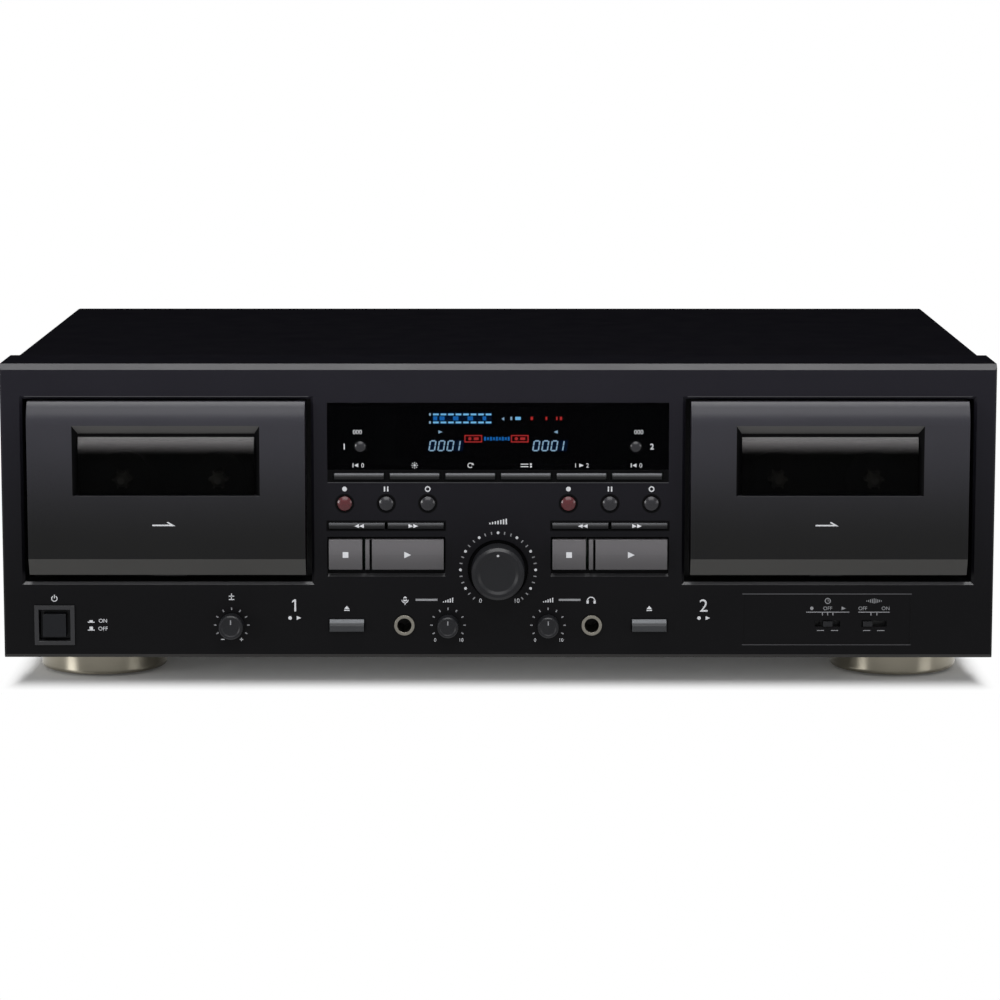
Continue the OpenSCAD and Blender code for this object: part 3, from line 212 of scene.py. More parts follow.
JACK = Finish("jack_dull_nickel", (0.185, 0.175, 0.152), 0.34, metallic=1.0, spread=0.3, relief=0.02,
              worn=(0.40, 0.37, 0.31), texture=Texture.TURNED)
INLET = Finish("inlet_black", (0.007, 0.007, 0.007), 0.55)
REEL = Finish("reel_ivory", (0.52, 0.50, 0.44), 0.40, worn=(0.62, 0.60, 0.55))
KNOB = Finish("knob_black", (0.0050, 0.0052, 0.0064), 0.36, specular=0.18, worn=(0.06, 0.06, 0.065), wear=0.3)
CAP = Finish("power_cap_black", (0.0034, 0.0038, 0.0050), 0.38, specular=0.15)
# Key colours darken below a height: painted shade, which leaves the upper facet of the function, slim and
# eject keys as a painted highlight.
KEY_GREY = Finish("key_warm_grey", (0.069, 0.066, 0.070), 0.42, specular=0.25, worn=(0.20, 0.195, 0.19),
                  spread=0.10, wear=0.6, painted_shade=(54.6, 66.0, 0.56))
KEY_DARK = Finish("key_dark_grey", (0.006, 0.006, 0.008), 0.20, specular=0.34, worn=(0.10, 0.10, 0.11))
KEY_FUNCTION = Finish("function_key_grey", (0.072, 0.074, 0.080), 0.36, specular=0.16,
                      worn=(0.16, 0.16, 0.17), painted_shade=(96.0, 96.7, 0.06))
KEY_SLIM = Finish("slim_key_grey", (0.048, 0.049, 0.053), 0.36, specular=0.10, worn=(0.14, 0.14, 0.15),
                  painted_shade=(74.1, 74.8, 0.12))
KEY_EJECT = Finish("eject_key_grey", (0.094, 0.098, 0.105), 0.36, specular=0.13, worn=(0.16, 0.16, 0.17),
                   painted_shade=(30.4, 31.1, 0.25))
RED = Finish("record_red", (0.050, 0.006, 0.008), 0.20, specular=0.34, worn=(0.42, 0.12, 0.11))
PRINT = Finish("print_white", (0.37, 0.375, 0.39), 0.6, specular=0.2, grain=5200.0, spread=0.22,
               relief=0.0, wear=0.0)
# A faint light line where an edge catches the light: painted highlight.
EDGE_HIGHLIGHT = Finish("field_outline", (0.026, 0.026, 0.029), 0.5, specular=0.3, wear=0.0)
PRINT_GREY = Finish("print_grey", (0.150, 0.152, 0.160), 0.6, specular=0.2, grain=5200.0, spread=0.22,
                    relief=0.0, wear=0.0)
RING_RED = Finish("socket_ring_red", (0.36, 0.02, 0.02), 0.42)
RING_WHITE = Finish("socket_ring_white", (0.62, 0.61, 0.57), 0.42)
BLUE = Glow("display_blue", (0.02, 0.30, 1.0), 8.5)
AZURE = Glow("display_azure", (0.22, 0.62, 1.0), 17.0)
ICE = Glow("display_ice", (0.45, 0.74, 1.0), 11.0)
# Segments that are off are given a faint glow: a painted glow.
UNLIT_GLOW = Glow("display_unlit_painted_glow", (0.0, 0.07, 0.30), 1.1)
SCARLET = Glow("display_red", (1.0, 0.06, 0.06), 8.0)


class Wiring:
    """A node tree with short ways to add nodes and links."""

    def __init__(self, tree: bpy.types.NodeTree) -> None:
        """Keeps the tree that is being wired."""
        self.tree = tree

    def node(self, kind: str, links: dict[str | int, object] | None = None,
             **settings: object) -> bpy.types.Node:
        """Adds a node.

        Args:
            kind: The node's type name.
            links: Input names or places, each with a socket to link or a plain value to set.
            settings: Properties of the node itself.

        Returns:
            The new node.
        """
        made = self.tree.nodes.new(kind)
        for name, value in settings.items():
            setattr(made, name, value)
        self.fill(made, links or {})
        return made

    def fill(self, node: bpy.types.Node, links: dict[str | int, object]) -> None:
        """Gives a node its inputs.

        Args:
            node: The node.
            links: Input names or places, each with a socket to link or a plain value to set.
        """
        for name, value in links.items():
            if isinstance(value, bpy.types.NodeSocket):
                self.tree.links.new(value, node.inputs[name])
            else:
                node.inputs[name].default_value = value

    def group(self, tree: bpy.types.NodeTree, links: dict[str | int, object]) -> bpy.types.NodeOutputs:
        """Places a shared group.

        Args:
            tree: The group.
            links: Its inputs, as for a node.

        Returns:
            Its outputs.
        """
        return self.node("ShaderNodeGroup", links, node_tree=tree).outputs

    def math(self, operation: str, *values: object) -> bpy.types.NodeSocket:
        """Adds a Math node.

        Args:
            operation: What it does with its values.
            values: Sockets or numbers, in order.

        Returns:
            Its output socket.
        """
        return self.node("ShaderNodeMath", dict(enumerate(values)), operation=operation).outputs[0]

    def mix(self, factor: object, first: object, second: object) -> bpy.types.NodeSocket:
        """Mixes two colours.

        Args:
            factor: Share of the second colour.
            first: Colour at 0.
            second: Colour at 1.

        Returns:
            The mixed colour's socket.
        """
        links = {0: factor, 6: first, 7: second}
        return self.node("ShaderNodeMix", links, data_type="RGBA").outputs[2]

    def scaled(self, colour: bpy.types.NodeSocket, share: bpy.types.NodeSocket) -> bpy.types.NodeSocket:
        """Gives a colour times a share."""
        return self.node("ShaderNodeVectorMath", {0: colour, "Scale": share}, operation="SCALE").outputs[0]

    def noise(self, place: bpy.types.NodeSocket, scale: object, detail: float) -> bpy.types.NodeSocket:
        """Adds a noise pattern.

        Args:
            place: Coordinates to read.
            scale: Features per metre, as a socket or a number.
            detail: Layers of finer noise.

        Returns:
            The pattern's value socket, about 0.5 on average.
        """
        return self.node("ShaderNodeTexNoise", {"Vector": place, "Scale": scale, "Detail": detail}).outputs[0]


class SurfaceGroups:
    """Shader node groups that the finishes share, each built once."""

    COLOUR = "NodeSocketColor"
    VALUE = "NodeSocketFloat"
    PATTERN_INPUTS = (("Color", COLOUR), ("Grain Scale", VALUE), ("Color Spread", VALUE),
                      ("Roughness", VALUE), ("Roughness Spread", VALUE))
    PATTERN_OUTPUTS = (("Color", COLOUR), ("Roughness", VALUE), ("Height", VALUE))
    STRETCH = {Texture.BRUSHED: (0.02, 1.0, 1.0), Texture.TURNED: (0.02, 0.02, 1.0)}
    FINE_DETAIL = 3.0
    BROAD_SCALE, BROAD_DETAIL = 38.0, 2.0
    LEAST_ROUGHNESS = 0.03
    BEVEL_SAMPLES = 4
    EDGE_BEND = (0.99, 0.80)
    RUB_SCALE, RUB_DETAIL, RUB_SPAN = 160.0, 4.0, (0.42, 0.68)
    DUST_SCALE, DUST_DETAIL, DUST_TILT = 70.0, 5.0, 0.3

    def __init__(self) -> None:
        """Builds the groups."""
        self.pattern = {texture: self._pattern(texture) for texture in Texture}
        self.edges = self._edges()
        self.dust = self._dust()
        self.painted_shade = self._painted_shade()

    @staticmethod
    def _group(name: str, inputs: Sequence[tuple[str, str]],
               outputs: Sequence[tuple[str, str]]) -> tuple[bpy.types.NodeTree, Wiring]:
        """Starts a group.

        Args:
            name: The group's name.
            inputs: Names and socket types that go in.
            outputs: Names and socket types that come out.

        Returns:
            The group and its wiring.
        """
        tree = bpy.data.node_groups.new(name, "ShaderNodeTree")
        for title, kind in inputs:
            tree.interface.new_socket(title, in_out="INPUT", socket_type=kind)
        for title, kind in outputs:
            tree.interface.new_socket(title, in_out="OUTPUT", socket_type=kind)
        return tree, Wiring(tree)

    def _pattern(self, texture: Texture) -> bpy.types.NodeTree:
        """Builds the fine pattern of one way of making a surface.

        Args:
            texture: The way it was made.

        Returns:
            A group that varies a colour and a roughness and gives a height.
        """
        tree, wire = self._group(f"surface_{texture.value}", self.PATTERN_INPUTS, self.PATTERN_OUTPUTS)
        given = wire.node("NodeGroupInput").outputs
        place = wire.node("ShaderNodeTexCoord").outputs["Object"]
        fine_place = place
        if texture in self.STRETCH:
            links = {"Vector": place, "Scale": self.STRETCH[texture]}
            fine_place = wire.node("ShaderNodeMapping", links).outputs[0]
        fine = wire.noise(fine_place, given["Grain Scale"], self.FINE_DETAIL)
        broad = wire.noise(place, self.BROAD_SCALE, self.BROAD_DETAIL)
        ripple = wire.math("ADD", wire.math("SUBTRACT", fine, 0.5), wire.math("SUBTRACT", broad, 0.5))
        factor = wire.math("ADD", wire.math("MULTIPLY", ripple, given["Color Spread"]), 1.0)
        colour = wire.scaled(given["Color"], factor)
        rough = wire.math("ADD", wire.math("MULTIPLY", ripple, given["Roughness Spread"]), given["Roughness"])
        limits = {"Value": rough, "Min": self.LEAST_ROUGHNESS, "Max": 1.0}
        clean = wire.node("ShaderNodeClamp", limits).outputs[0]
        wire.node("NodeGroupOutput", {"Color": colour, "Roughness": clean, "Height": fine})
        return tree

    def _edges(self) -> bpy.types.NodeTree:
        """Builds rounded, slightly rubbed edges.

        Returns:
            A group that gives a colour rubbed along the edges and a normal that rounds them.
        """
        tree, wire = self._group(
            "rounded_edges",
            (("Color", self.COLOUR), ("Worn Color", self.COLOUR), ("Wear", self.VALUE),
             ("Radius", self.VALUE)),
            (("Color", self.COLOUR), ("Normal", "NodeSocketVector")))
        given = wire.node("NodeGroupInput").outputs
        radius = {"Radius": given["Radius"]}
        rounded = wire.node("ShaderNodeBevel", radius, samples=self.BEVEL_SAMPLES).outputs[0]
        flat = wire.node("ShaderNodeNewGeometry").outputs["Normal"]
        along = wire.node("ShaderNodeVectorMath", {0: rounded, 1: flat},
                          operation="DOT_PRODUCT").outputs["Value"]
        straight, sharp = self.EDGE_BEND
        bend = wire.node("ShaderNodeMapRange", {0: along, 1: straight, 2: sharp, 3: 0.0, 4: 1.0}).outputs[0]
        place = wire.node("ShaderNodeTexCoord").outputs["Object"]
        patches = wire.noise(place, self.RUB_SCALE, self.RUB_DETAIL)
        bare, rubbed_off = self.RUB_SPAN
        patchy = wire.node("ShaderNodeMapRange", {0: patches, 1: bare, 2: rubbed_off}).outputs[0]
        rubbed = wire.math("MULTIPLY", wire.math("MULTIPLY", bend, patchy), given["Wear"])
        colour = wire.mix(rubbed, given["Color"], given["Worn Color"])
        wire.node("NodeGroupOutput", {"Color": colour, "Normal": rounded})
        return tree

    def _dust(self) -> bpy.types.NodeTree:
        """Builds the dust on faces that look up.

        Returns:
            A group that lays a thin, uneven pale film over a colour.
        """
        tree, wire = self._group("settled_dust", (("Color", self.COLOUR), ("Amount", self.VALUE)),
                                 (("Color", self.COLOUR),))
        given = wire.node("NodeGroupInput").outputs
        coords = wire.node("ShaderNodeTexCoord").outputs
        up = wire.node("ShaderNodeSeparateXYZ", {0: coords["Normal"]}).outputs["Z"]
        lying = wire.node("ShaderNodeMapRange", {0: up, 1: self.DUST_TILT, 2: 1.0}).outputs[0]
        film = wire.noise(coords["Object"], self.DUST_SCALE, self.DUST_DETAIL)
        uneven = wire.math("MULTIPLY", film, given["Amount"])
        colour = wire.mix(wire.math("MULTIPLY", lying, uneven), given["Color"], DUST_TINT)
        wire.node("NodeGroupOutput", {"Color": colour})
        return tree

    def _painted_shade(self) -> bpy.types.NodeTree:
        """Builds painted shade: a colour that deepens towards the bottom of a piece, standing in for light
        that falls from above.

        Returns:
            A group that gives the colour, darkened below a height by a share.
        """
        tree, wire = self._group(
            "painted_shade_gradient",
            (("Color", self.COLOUR), ("Low", self.VALUE), ("High", self.VALUE), ("Low Share", self.VALUE)),
            (("Color", self.COLOUR),))
        given = wire.node("NodeGroupInput").outputs
        place = wire.node("ShaderNodeTexCoord").outputs["Object"]
        height = wire.node("ShaderNodeSeparateXYZ", {0: place}).outputs["Z"]
        span = {0: height, 1: given["Low"], 2: given["High"], 3: given["Low Share"], 4: 1.0}
        share = wire.node("ShaderNodeMapRange", span, interpolation_type="SMOOTHSTEP").outputs[0]
        colour = wire.scaled(given["Color"], share)
        wire.node("NodeGroupOutput", {"Color": colour})
        return tree


class FinishShop:
    """Makes each finish's material once and hands it out."""

    def __init__(self) -> None:
        """Builds the shared groups and an empty shelf."""
        self.groups = SurfaceGroups()
        self.shelf: dict[str, bpy.types.Material] = {}

    def get(self, finish: Finish | Glow) -> bpy.types.Material:
        """Gives a finish's material.

        Args:
            finish: A surface finish or a display light.

        Returns:
            The material, made on first use.
        """
        if finish.name not in self.shelf:
            make = self._light if isinstance(finish, Glow) else self._surface
            self.shelf[finish.name] = make(finish)
        return self.shelf[finish.name]

    @staticmethod
    def _blank(name: str) -> tuple[bpy.types.Material, Wiring, bpy.types.Node]:
        """Starts a material.

        Args:
            name: The material's name.

        Returns:
            The material, its wiring and its Principled BSDF.
        """
        made = bpy.data.materials.new(name)
        made.use_nodes = True
        wire = Wiring(made.node_tree)
        made.node_tree.nodes.clear()
        shader = wire.node("ShaderNodeBsdfPrincipled")
        wire.node("ShaderNodeOutputMaterial", {"Surface": shader.outputs[0]})
        return made, wire, shader

    def _surface(self, finish: Finish) -> bpy.types.Material:
        """Wires a surface finish.

        Args:
            finish: The finish.

        Returns:
            Its material.
        """
        made, wire, shader = self._blank(finish.name)
        pattern = wire.group(self.groups.pattern[finish.texture], {
            "Color": (*finish.colour, 1.0), "Grain Scale": finish.grain, "Color Spread": finish.spread,
            "Roughness": finish.roughness, "Roughness Spread": finish.rough_spread})
        edges = wire.group(self.groups.edges, {
            "Color": pattern["Color"], "Worn Color": (*finish.worn, 1.0), "Wear": finish.wear,
            "Radius": finish.edge * MM})
        # Painted shade: the colour darkens below a height, as if lit from above.
        low, high, low_share = finish.painted_shade
        painted_shade = wire.group(self.groups.painted_shade, {
            "Color": edges["Color"], "Low": low * MM, "High": high * MM, "Low Share": low_share})
        dust = wire.group(self.groups.dust, {"Color": painted_shade["Color"], "Amount": finish.dust})
        bump = wire.node("ShaderNodeBump", {
            "Strength": finish.relief, "Distance": BUMP_DEPTH * MM, "Height": pattern["Height"],
            "Normal": edges["Normal"]}).outputs
        wire.fill(shader, {
            "Base Color": dust["Color"], "Roughness": pattern["Roughness"], "Normal": bump["Normal"],
            "Metallic": finish.metallic, "Specular IOR Level": finish.specular, "Coat Weight": finish.coat,
            "Anisotropic": finish.streak, "Anisotropic Rotation": STREAK_TURN, "Alpha": finish.alpha})
        return made

    def _light(self, glow: Glow) -> bpy.types.Material:
        """Wires a display light.

        Args:
            glow: The light.

        Returns:
            Its material.
        """
        made, wire, shader = self._blank(glow.name)
        pattern = wire.group(self.groups.pattern[Texture.GRAIN], {
            "Color": (*glow.colour, 1.0), "Grain Scale": glow.grain, "Color Spread": glow.spread,
            "Roughness": glow.roughness, "Roughness Spread": glow.rough_spread})
        own = [glow.unlit_share * part for part in glow.colour]
        wire.fill(shader, {
            "Emission Color": pattern["Color"], "Roughness": pattern["Roughness"], "Base Color": (*own, 1.0),
            "Emission Strength": glow.strength})
        return made


class PrintSheet:
    """Flat marks on one upright face, drawn in millimetres as seen from the front."""

    def __init__(self, name: str, face_y: float, body: str, material: bpy.types.Material) -> None:
        """Starts an empty sheet.

        Args:
            name: The piece's name.
            face_y: Depth of the face that carries the marks.
            body: Body that the marks ride on.
            material: Their finish.
        """
        self.name = name
        self.face_y = face_y
        self.body = body
        self.material = material
        self.faces: list[list[Point]] = []

    def shape(self, points: Sequence[Point]) -> None:
        """Adds a shape, its points in order against the clock."""
        self.faces.append(list(points))

    def bar(self, x: float, z: float, width: float, height: float) -> None:
        """Adds an upright rectangle about its middle."""
        self.shape([(x + a * width / 2, z + b * height / 2) for a, b in QUAD])

    def head(self, x: float, z: float, width: float, height: float, way: Way) -> None:
        """Adds an arrow head.

        Args:
            x: Middle across.
            z: Middle up.
            width: Size along its pointing direction.
            height: Size across it.
            way: Where it points.
        """
        along, side = directions(way.value)
        tip, back = Vector((x, z)) + along * width / 2, Vector((x, z)) - along * width / 2
        self.shape([(p.x, p.y) for p in (tip, back + side * height / 2, back - side * height / 2)])

    def disc(self, x: float, z: float, d: float, steps: int = 20) -> None:
        """Adds a round dot."""
        turns = [math.tau * i / steps for i in range(steps)]
        self.shape([(x + d / 2 * math.cos(t), z + d / 2 * math.sin(t)) for t in turns])

    def arc(self, x: float, z: float, d: float, line: float, start: float = 0.0,
            sweep: float = 360.0) -> None:
        """Adds a curved line.

        Args:
            x: Centre across.
            z: Centre up.
            d: Diameter at the middle of the line.
            line: Width of the line.
            start: First angle in degrees, against the clock from the right.
            sweep: Angle that it covers.
        """
        steps = max(LEAST_ARC_STEPS, int(sweep / ARC_STEP))
        inner, outer = d / 2 - line / 2, d / 2 + line / 2
        for i in range(steps):
            a, b = (math.radians(start + sweep * k / steps) for k in (i, i + 1))
            self.shape([(x + r * math.cos(t), z + r * math.sin(t))
                        for r, t in ((inner, a), (outer, a), (outer, b), (inner, b))])

    def tick(self, x: float, z: float, radius: float, length: float, line: float, angle: float) -> None:
        """Adds a mark that points away from a dial's centre.

        Args:
            x: Dial centre across.
            z: Dial centre up.
            radius: Where the mark's middle is.
            length: Its length.
            line: Its width.
            angle: Its angle in degrees, clockwise from the top.
        """
        along, side = directions(90 - angle)
        middle = Vector((x, z)) + along * radius
        points = [middle + along * (a * length / 2) + side * (b * line / 2) for a, b in QUAD]
        self.shape([(p.x, p.y) for p in points])

    def plus(self, x: float, z: float, size: float, line: float) -> None:
        """Adds a plus sign about its middle."""
        self.bar(x, z, size, line)
        self.bar(x, z, line, size)

    def wedge(self, x: float, z: float, bars: int, pitch: float, width: float, low: float,
              rise: float) -> None:
        """Adds a row of bars that rise to the right.

        Args:
            x: Middle of the row across.
            z: Middle of the first bar up.
            bars: How many there are.
            pitch: Step from bar to bar.
            width: Width of a bar.
            low: Height of the first bar.
            rise: How much taller each next bar is.
        """
        for step in range(bars):
            self.bar(x + pitch * (step - (bars - 1) / 2), z + rise * step / 2, width, low + rise * step)

    def glyphs(self, words: str, x: float, z: float, height: float, heavy: float = 0.0) -> None:
        """Adds plain figures or a short plain word.

        Args:
            words: What is set.
            x: Middle across.
            z: Middle up.
            height: Height of a figure.
            heavy: Extra thickness of the strokes as a share of the height.
        """
        curve = bpy.data.curves.new("glyphs", "FONT")
        curve.body = words
        curve.offset = heavy
        setting = bpy.data.objects.new("glyphs", curve)
        mesh = bpy.data.meshes.new_from_object(setting)
        low, high = reach([v.co for v in mesh.vertices])
        middle = (low + high) / 2
        scale = height / (high.y - low.y)
        for face in mesh.polygons:
            points = [(mesh.vertices[i].co - middle) * scale for i in face.vertices]
            self.shape([(x + p.x, z + p.y) for p in points])
        bpy.data.objects.remove(setting)
        bpy.data.curves.remove(curve)
        bpy.data.meshes.remove(mesh)

    def build(self, fold_z: float | None = None, lean: float = 0.0) -> bpy.types.Object:
        """Makes the piece.

        Args:
            fold_z: Height above which the face leans back, if it does.
            lean: How far it leans back for each millimetre above that; below 0, it leans forward.

        Returns:
            The new object, riding on its body.
        """
        work = bmesh.new()
        for points in self.faces:
            work.faces.new([work.verts.new((x, self.face_y - PRINT_LIFT, z)) for x, z in points])
        if fold_z is not None:
            every = work.verts[:] + work.edges[:] + work.faces[:]
            bmesh.ops.bisect_plane(work, geom=every, plane_co=(0, 0, fold_z), plane_no=(0, 0, 1))
            for vert in work.verts:
                vert.co.y += lean * max(0.0, vert.co.z - fold_z)
        bmesh.ops.recalc_face_normals(work, faces=work.faces[:])
        for face in work.faces:
            if face.normal.y > 0:
                face.normal_flip()
        bmesh.ops.scale(work, vec=(MM, MM, MM), verts=work.verts)
        return finish_piece(self.name, work, self.body, self.material)


def finish_piece(name: str, work: bmesh.types.BMesh, body: str,
                 material: bpy.types.Material) -> bpy.types.Object:
    """Turns a worked mesh into a piece of the object.

    Args:
        name: The piece's name.
        work: Its mesh, in metres in the shared frame.
        body: Body that it rides on.
        material: Its finish.

    Returns:
        The new object.
    """
    mesh = bpy.data.meshes.new(name)
    work.to_mesh(mesh)
    work.free()
    mesh.materials.append(material)
    piece = bpy.data.objects.new(name, mesh)
    bpy.context.scene.collection.objects.link(piece)
    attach(piece, body)
    LOG.info("piece %s on %s", name, body)
    return piece


def millimetres(node: str) -> tuple[Vector, Vector]:
    """Gives a node's lowest and highest corner in millimetres."""
    low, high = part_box(node)
    return low / MM, high / MM


def middle_of(node: str) -> Point:
    """Gives the middle of a node seen from the front."""
    low, high = millimetres(node)
    return (low.x + high.x) / 2, (low.z + high.z) / 2


def directions(angle: float) -> tuple[Vector, Vector]:
    """Gives the direction at an angle, against the clock from the right, and the one to its left."""
    turn = math.radians(angle)
    return Vector((math.cos(turn), math.sin(turn))), Vector((-math.sin(turn), math.cos(turn)))


def reach(spots: Sequence[Vector]) -> tuple[Vector, Vector]:
    """Gives the lowest and the highest corner of some points."""
    return (Vector([min(p[i] for p in spots) for i in range(3)]),
            Vector([max(p[i] for p in spots) for i in range(3)]))


@dataclass
class Casework:
    """The case, its panels, boards, sockets and transports: finishes for what the frame already holds."""

    nodes: dict[str, bpy.types.Object]
    shop: FinishShop
    bevel: float = 5.0
    key_field: float = 80.0
    key_field_ends: Point = (30.0, 60.0)
    key_floor: Point = (0.9, 2.0)
    jack_bore_r: float = 3.3
    jack_ring: float = 4.0
    foot_r: float = 28.5
    pad_d: float = 32.6
    pad_top: float = 4.0
    tube_half: float = 46.0
    tube_back: float = 8.0
    control_board: Point = (-110.1, -108.3)
    main_board_top: float = 30.0
    bridge_t: float = 2.0
    head_half: float = 8.0
    hub_r: float = 5.0
    tip: float = 5.0
    socket_step: float = 8.0
    ring_in: float = 4.35
    ring_out: float = 6.4
    ring_t: float = 0.9
    ring_bevel: float = 0.4
    drive_length: float = 4.2
    drive_line: float = 0.9
    drive_sunk: float = 0.02
    plain: dict[str, Finish] = field(default_factory=lambda: {
        "chassis_pan": ZINC, "rear_panel": REAR, "case_screws": SCREW, "power_bezel": BEZEL,
        "display_window": LENS, "power_transformer": CORE, "rear_sockets": NICKEL, "mains_inlet": INLET,
        "transport_frames": FRAME, "drive_motors": STEEL})

    def paint(self, node: str, *finishes: Finish, pick: FacePick | None = None) -> None:
        """Gives a node its finishes.

        Args:
            node: The node's name.
            finishes: One finish, or several for different faces.
            pick: Chooses a finish's place in that list from a face's centre in millimetres and its normal.
        """
        mesh = self.nodes[node].data
        mesh.materials.clear()
        for finish in finishes:
            mesh.materials.append(self.shop.get(finish))
        for face in mesh.polygons:
            face.material_index = pick(face.center / MM, face.normal) if pick else 0

    def dress(self) -> None:
        """Paints the case and everything that stands still in it."""
        for node, finish in self.plain.items():
            self.paint(node, finish)
        # The cover's top faces take the darker copy of its paint: painted shade.
        self.paint("top_cover", COVER, COVER_SIDE, pick=lambda centre, normal: 0 if normal.z > FACING else 1)
        self._front_panel()
        self._jacks()
        self._feet()
        self._boards()
        for deck in DECKS:
            self._transport(deck)
        self._socket_rings()
        self._screw_drives()

    def _front_panel(self) -> None:
        """Paints the panel: painted shade on its top, painted highlights on its outer bevels and on the lips
        of its openings that face up, and painted shade in the recess round the keys.
        """
        low, high = millimetres("front_panel")
        (under, over), (near, far) = self.key_field_ends, self.key_floor

        def pick(centre: Vector, normal: Vector) -> int:
            """Chooses the finish of one of the panel's faces.

            Args:
                centre: The face's middle in millimetres.
                normal: The way it looks.

            Returns:
                The finish's place in the list.
            """
            if normal.z > FACING and centre.z > high.z - TOUCH:
                return 2
            if normal.y > -SLOPED:
                return 0
            if abs(normal.z) > SLOPED and not low.z + self.bevel < centre.z < high.z - self.bevel:
                return 3 if normal.z > 0 else 4
            inner = abs(centre.x) < self.key_field
            beside_keys = low.z + under < centre.z < high.z - over
            if inner and beside_keys and low.y + near < centre.y < low.y + far:
                return 6
            if normal.z > SLOPED:
                return 5 if inner else 1
            return 0

        self.paint("front_panel", PANEL, LIP, PANEL_TOP, PANEL_EDGE, PANEL_FOOT, LIP_DIM, SHADE_BLACK, pick=pick)

    def _jacks(self) -> None:
        """Paints the jacks' rings bright and their bores dark."""
        low, high = millimetres("front_sockets")
        z_mid, x_mid = (low.z + high.z) / 2, high.x - (high.z - low.z) / 2

        def pick(centre: Vector, normal: Vector) -> int:
            """Chooses bright metal, or black in a bore and behind a ring."""
            outer = math.hypot(abs(centre.x) - x_mid, centre.z - z_mid) > self.jack_bore_r
            return 1 if centre.y > low.y + self.jack_ring and (outer or abs(normal.y) > LEANING) else 0

        self.paint("front_sockets", JACK, INLET, pick=pick)

    def _feet(self) -> None:
        """Paints the feet, and the felt of the pads under them."""
        low, high = millimetres("feet")
        across, lengthways = high.x - self.foot_r, (low.y + self.foot_r, high.y - self.foot_r)
        spots = [(side * across, y) for side in SIDES for y in lengthways]

        def pick(centre: Vector, normal: Vector) -> int:
            """Chooses the metal of a foot or the felt of its pad."""
            away = min(math.hypot(centre.x - x, centre.y - y) for x, y in spots)
            return 1 if away < self.pad_d / 2 and centre.z < self.pad_top and normal.z < LEANING else 0

        self.paint("feet", FOOT, PAD, pick=pick)

    def _boards(self) -> None:
        """Paints the boards green, their components dark and the display tube as glass."""
        lens_low, lens_high = millimetres("display_window")
        front, back = self.control_board

        def pick(centre: Vector, normal: Vector) -> int:
            """Chooses board, component or tube.

            Args:
                centre: The face's middle in millimetres.
                normal: The way it looks.

            Returns:
                The finish's place in the list.
            """
            behind_lens = centre.y < lens_high.y + self.tube_back and centre.z > lens_low.z
            if behind_lens and abs(centre.x) < self.tube_half:
                return 2
            upright = front < centre.y < back and abs(normal.y) > FACING
            lying = centre.z < self.main_board_top and abs(normal.z) > FACING
            return 0 if upright or lying else 1

        self.paint("circuit_boards", BOARD, COMPONENT, TUBE, pick=pick)

    def _transport(self, deck: int) -> None:
        """Paints one transport's moving pieces.

        Args:
            deck: Which deck.
        """
        for side in ("supply", "takeup"):
            self._reel(f"{side}_reel_{deck}")
        self.paint(f"flywheel_{deck}", STEEL)
        self.paint(f"cassette_holder_{deck}", HOLDER)
        low, high = millimetres(f"head_bridge_{deck}")
        middle = (low.x + high.x) / 2

        def pick(centre: Vector, normal: Vector) -> int:
            """Chooses plate, head or roller.

            Args:
                centre: The face's middle in millimetres.
                normal: The way it looks.

            Returns:
                The finish's place in the list.
            """
            if centre.y > high.y - self.bridge_t:
                return 0
            if abs(centre.x - middle) > self.head_half:
                return 2
            return 1 if normal.z > LEANING else 0

        self.paint(f"head_bridge_{deck}", FRAME, HEAD, RUBBER, pick=pick)

    def _reel(self, node: str) -> None:
        """Paints a reel table dark and its spindle pale.

        Args:
            node: The reel's name.
        """
        low, high = millimetres(node)
        middle = (low + high) / 2

        def pick(centre: Vector, normal: Vector) -> int:
            """Chooses spindle or table.

            Args:
                centre: The face's middle in millimetres.
                normal: The way it looks.

            Returns:
                The finish's place in the list.
            """
            if normal.y < -FACING and centre.y > low.y + self.tip:
                return 1
            return 0 if math.hypot(centre.x - middle.x, centre.z - middle.z) < self.hub_r else 1

        self.paint(node, REEL, COMPONENT, pick=pick)

    def _socket_rings(self) -> None:
        """Adds the coloured rings round the line sockets, red on the right channel's row."""
        low, high = millimetres("rear_sockets")
        face = millimetres("rear_panel")[1].y
        middle, step = (low + high) / 2, self.socket_step
        profile = ((self.ring_in, PRINT_LIFT), (self.ring_in, self.ring_t),
                   (self.ring_out - self.ring_bevel, self.ring_t),
                   (self.ring_out, self.ring_t - self.ring_bevel), (self.ring_out, PRINT_LIFT))
        for row, side, finish in ((1, "left", RING_WHITE), (-1, "right", RING_RED)):
            for column, way in ((-1, "in"), (1, "out")):
                work = bmesh.new()
                centre = middle + Vector((column * step, 0.0, row * step))
                spin_profile(work, centre, [(r, face + y) for r, y in profile])
                finish_piece(f"line_{way}_{side}_ring", work, "case", self.shop.get(finish))

    def _screw_drives(self) -> None:
        """Adds a painted shadow in the shape of the cross recess on the head of each case screw."""
        mesh = self.nodes["case_screws"].data
        work = bmesh.new()
        work.from_mesh(mesh)
        bmesh.ops.remove_doubles(work, verts=work.verts, dist=WELD * MM)
        drives = bmesh.new()
        unseen = set(work.verts)
        while unseen:
            island, ring = set(), [unseen.pop()]
            while ring:
                vert = ring.pop()
                island.add(vert)
                near = {edge.other_vert(vert) for edge in vert.link_edges} & unseen
                unseen -= near
                ring.extend(near)
            low, high = reach([v.co for v in island])
            self._cross(drives, low / MM, high / MM)
        work.free()
        bmesh.ops.scale(drives, vec=(MM, MM, MM), verts=drives.verts)
        finish_piece("screw_drives", drives, "case", self.shop.get(DRIVE))

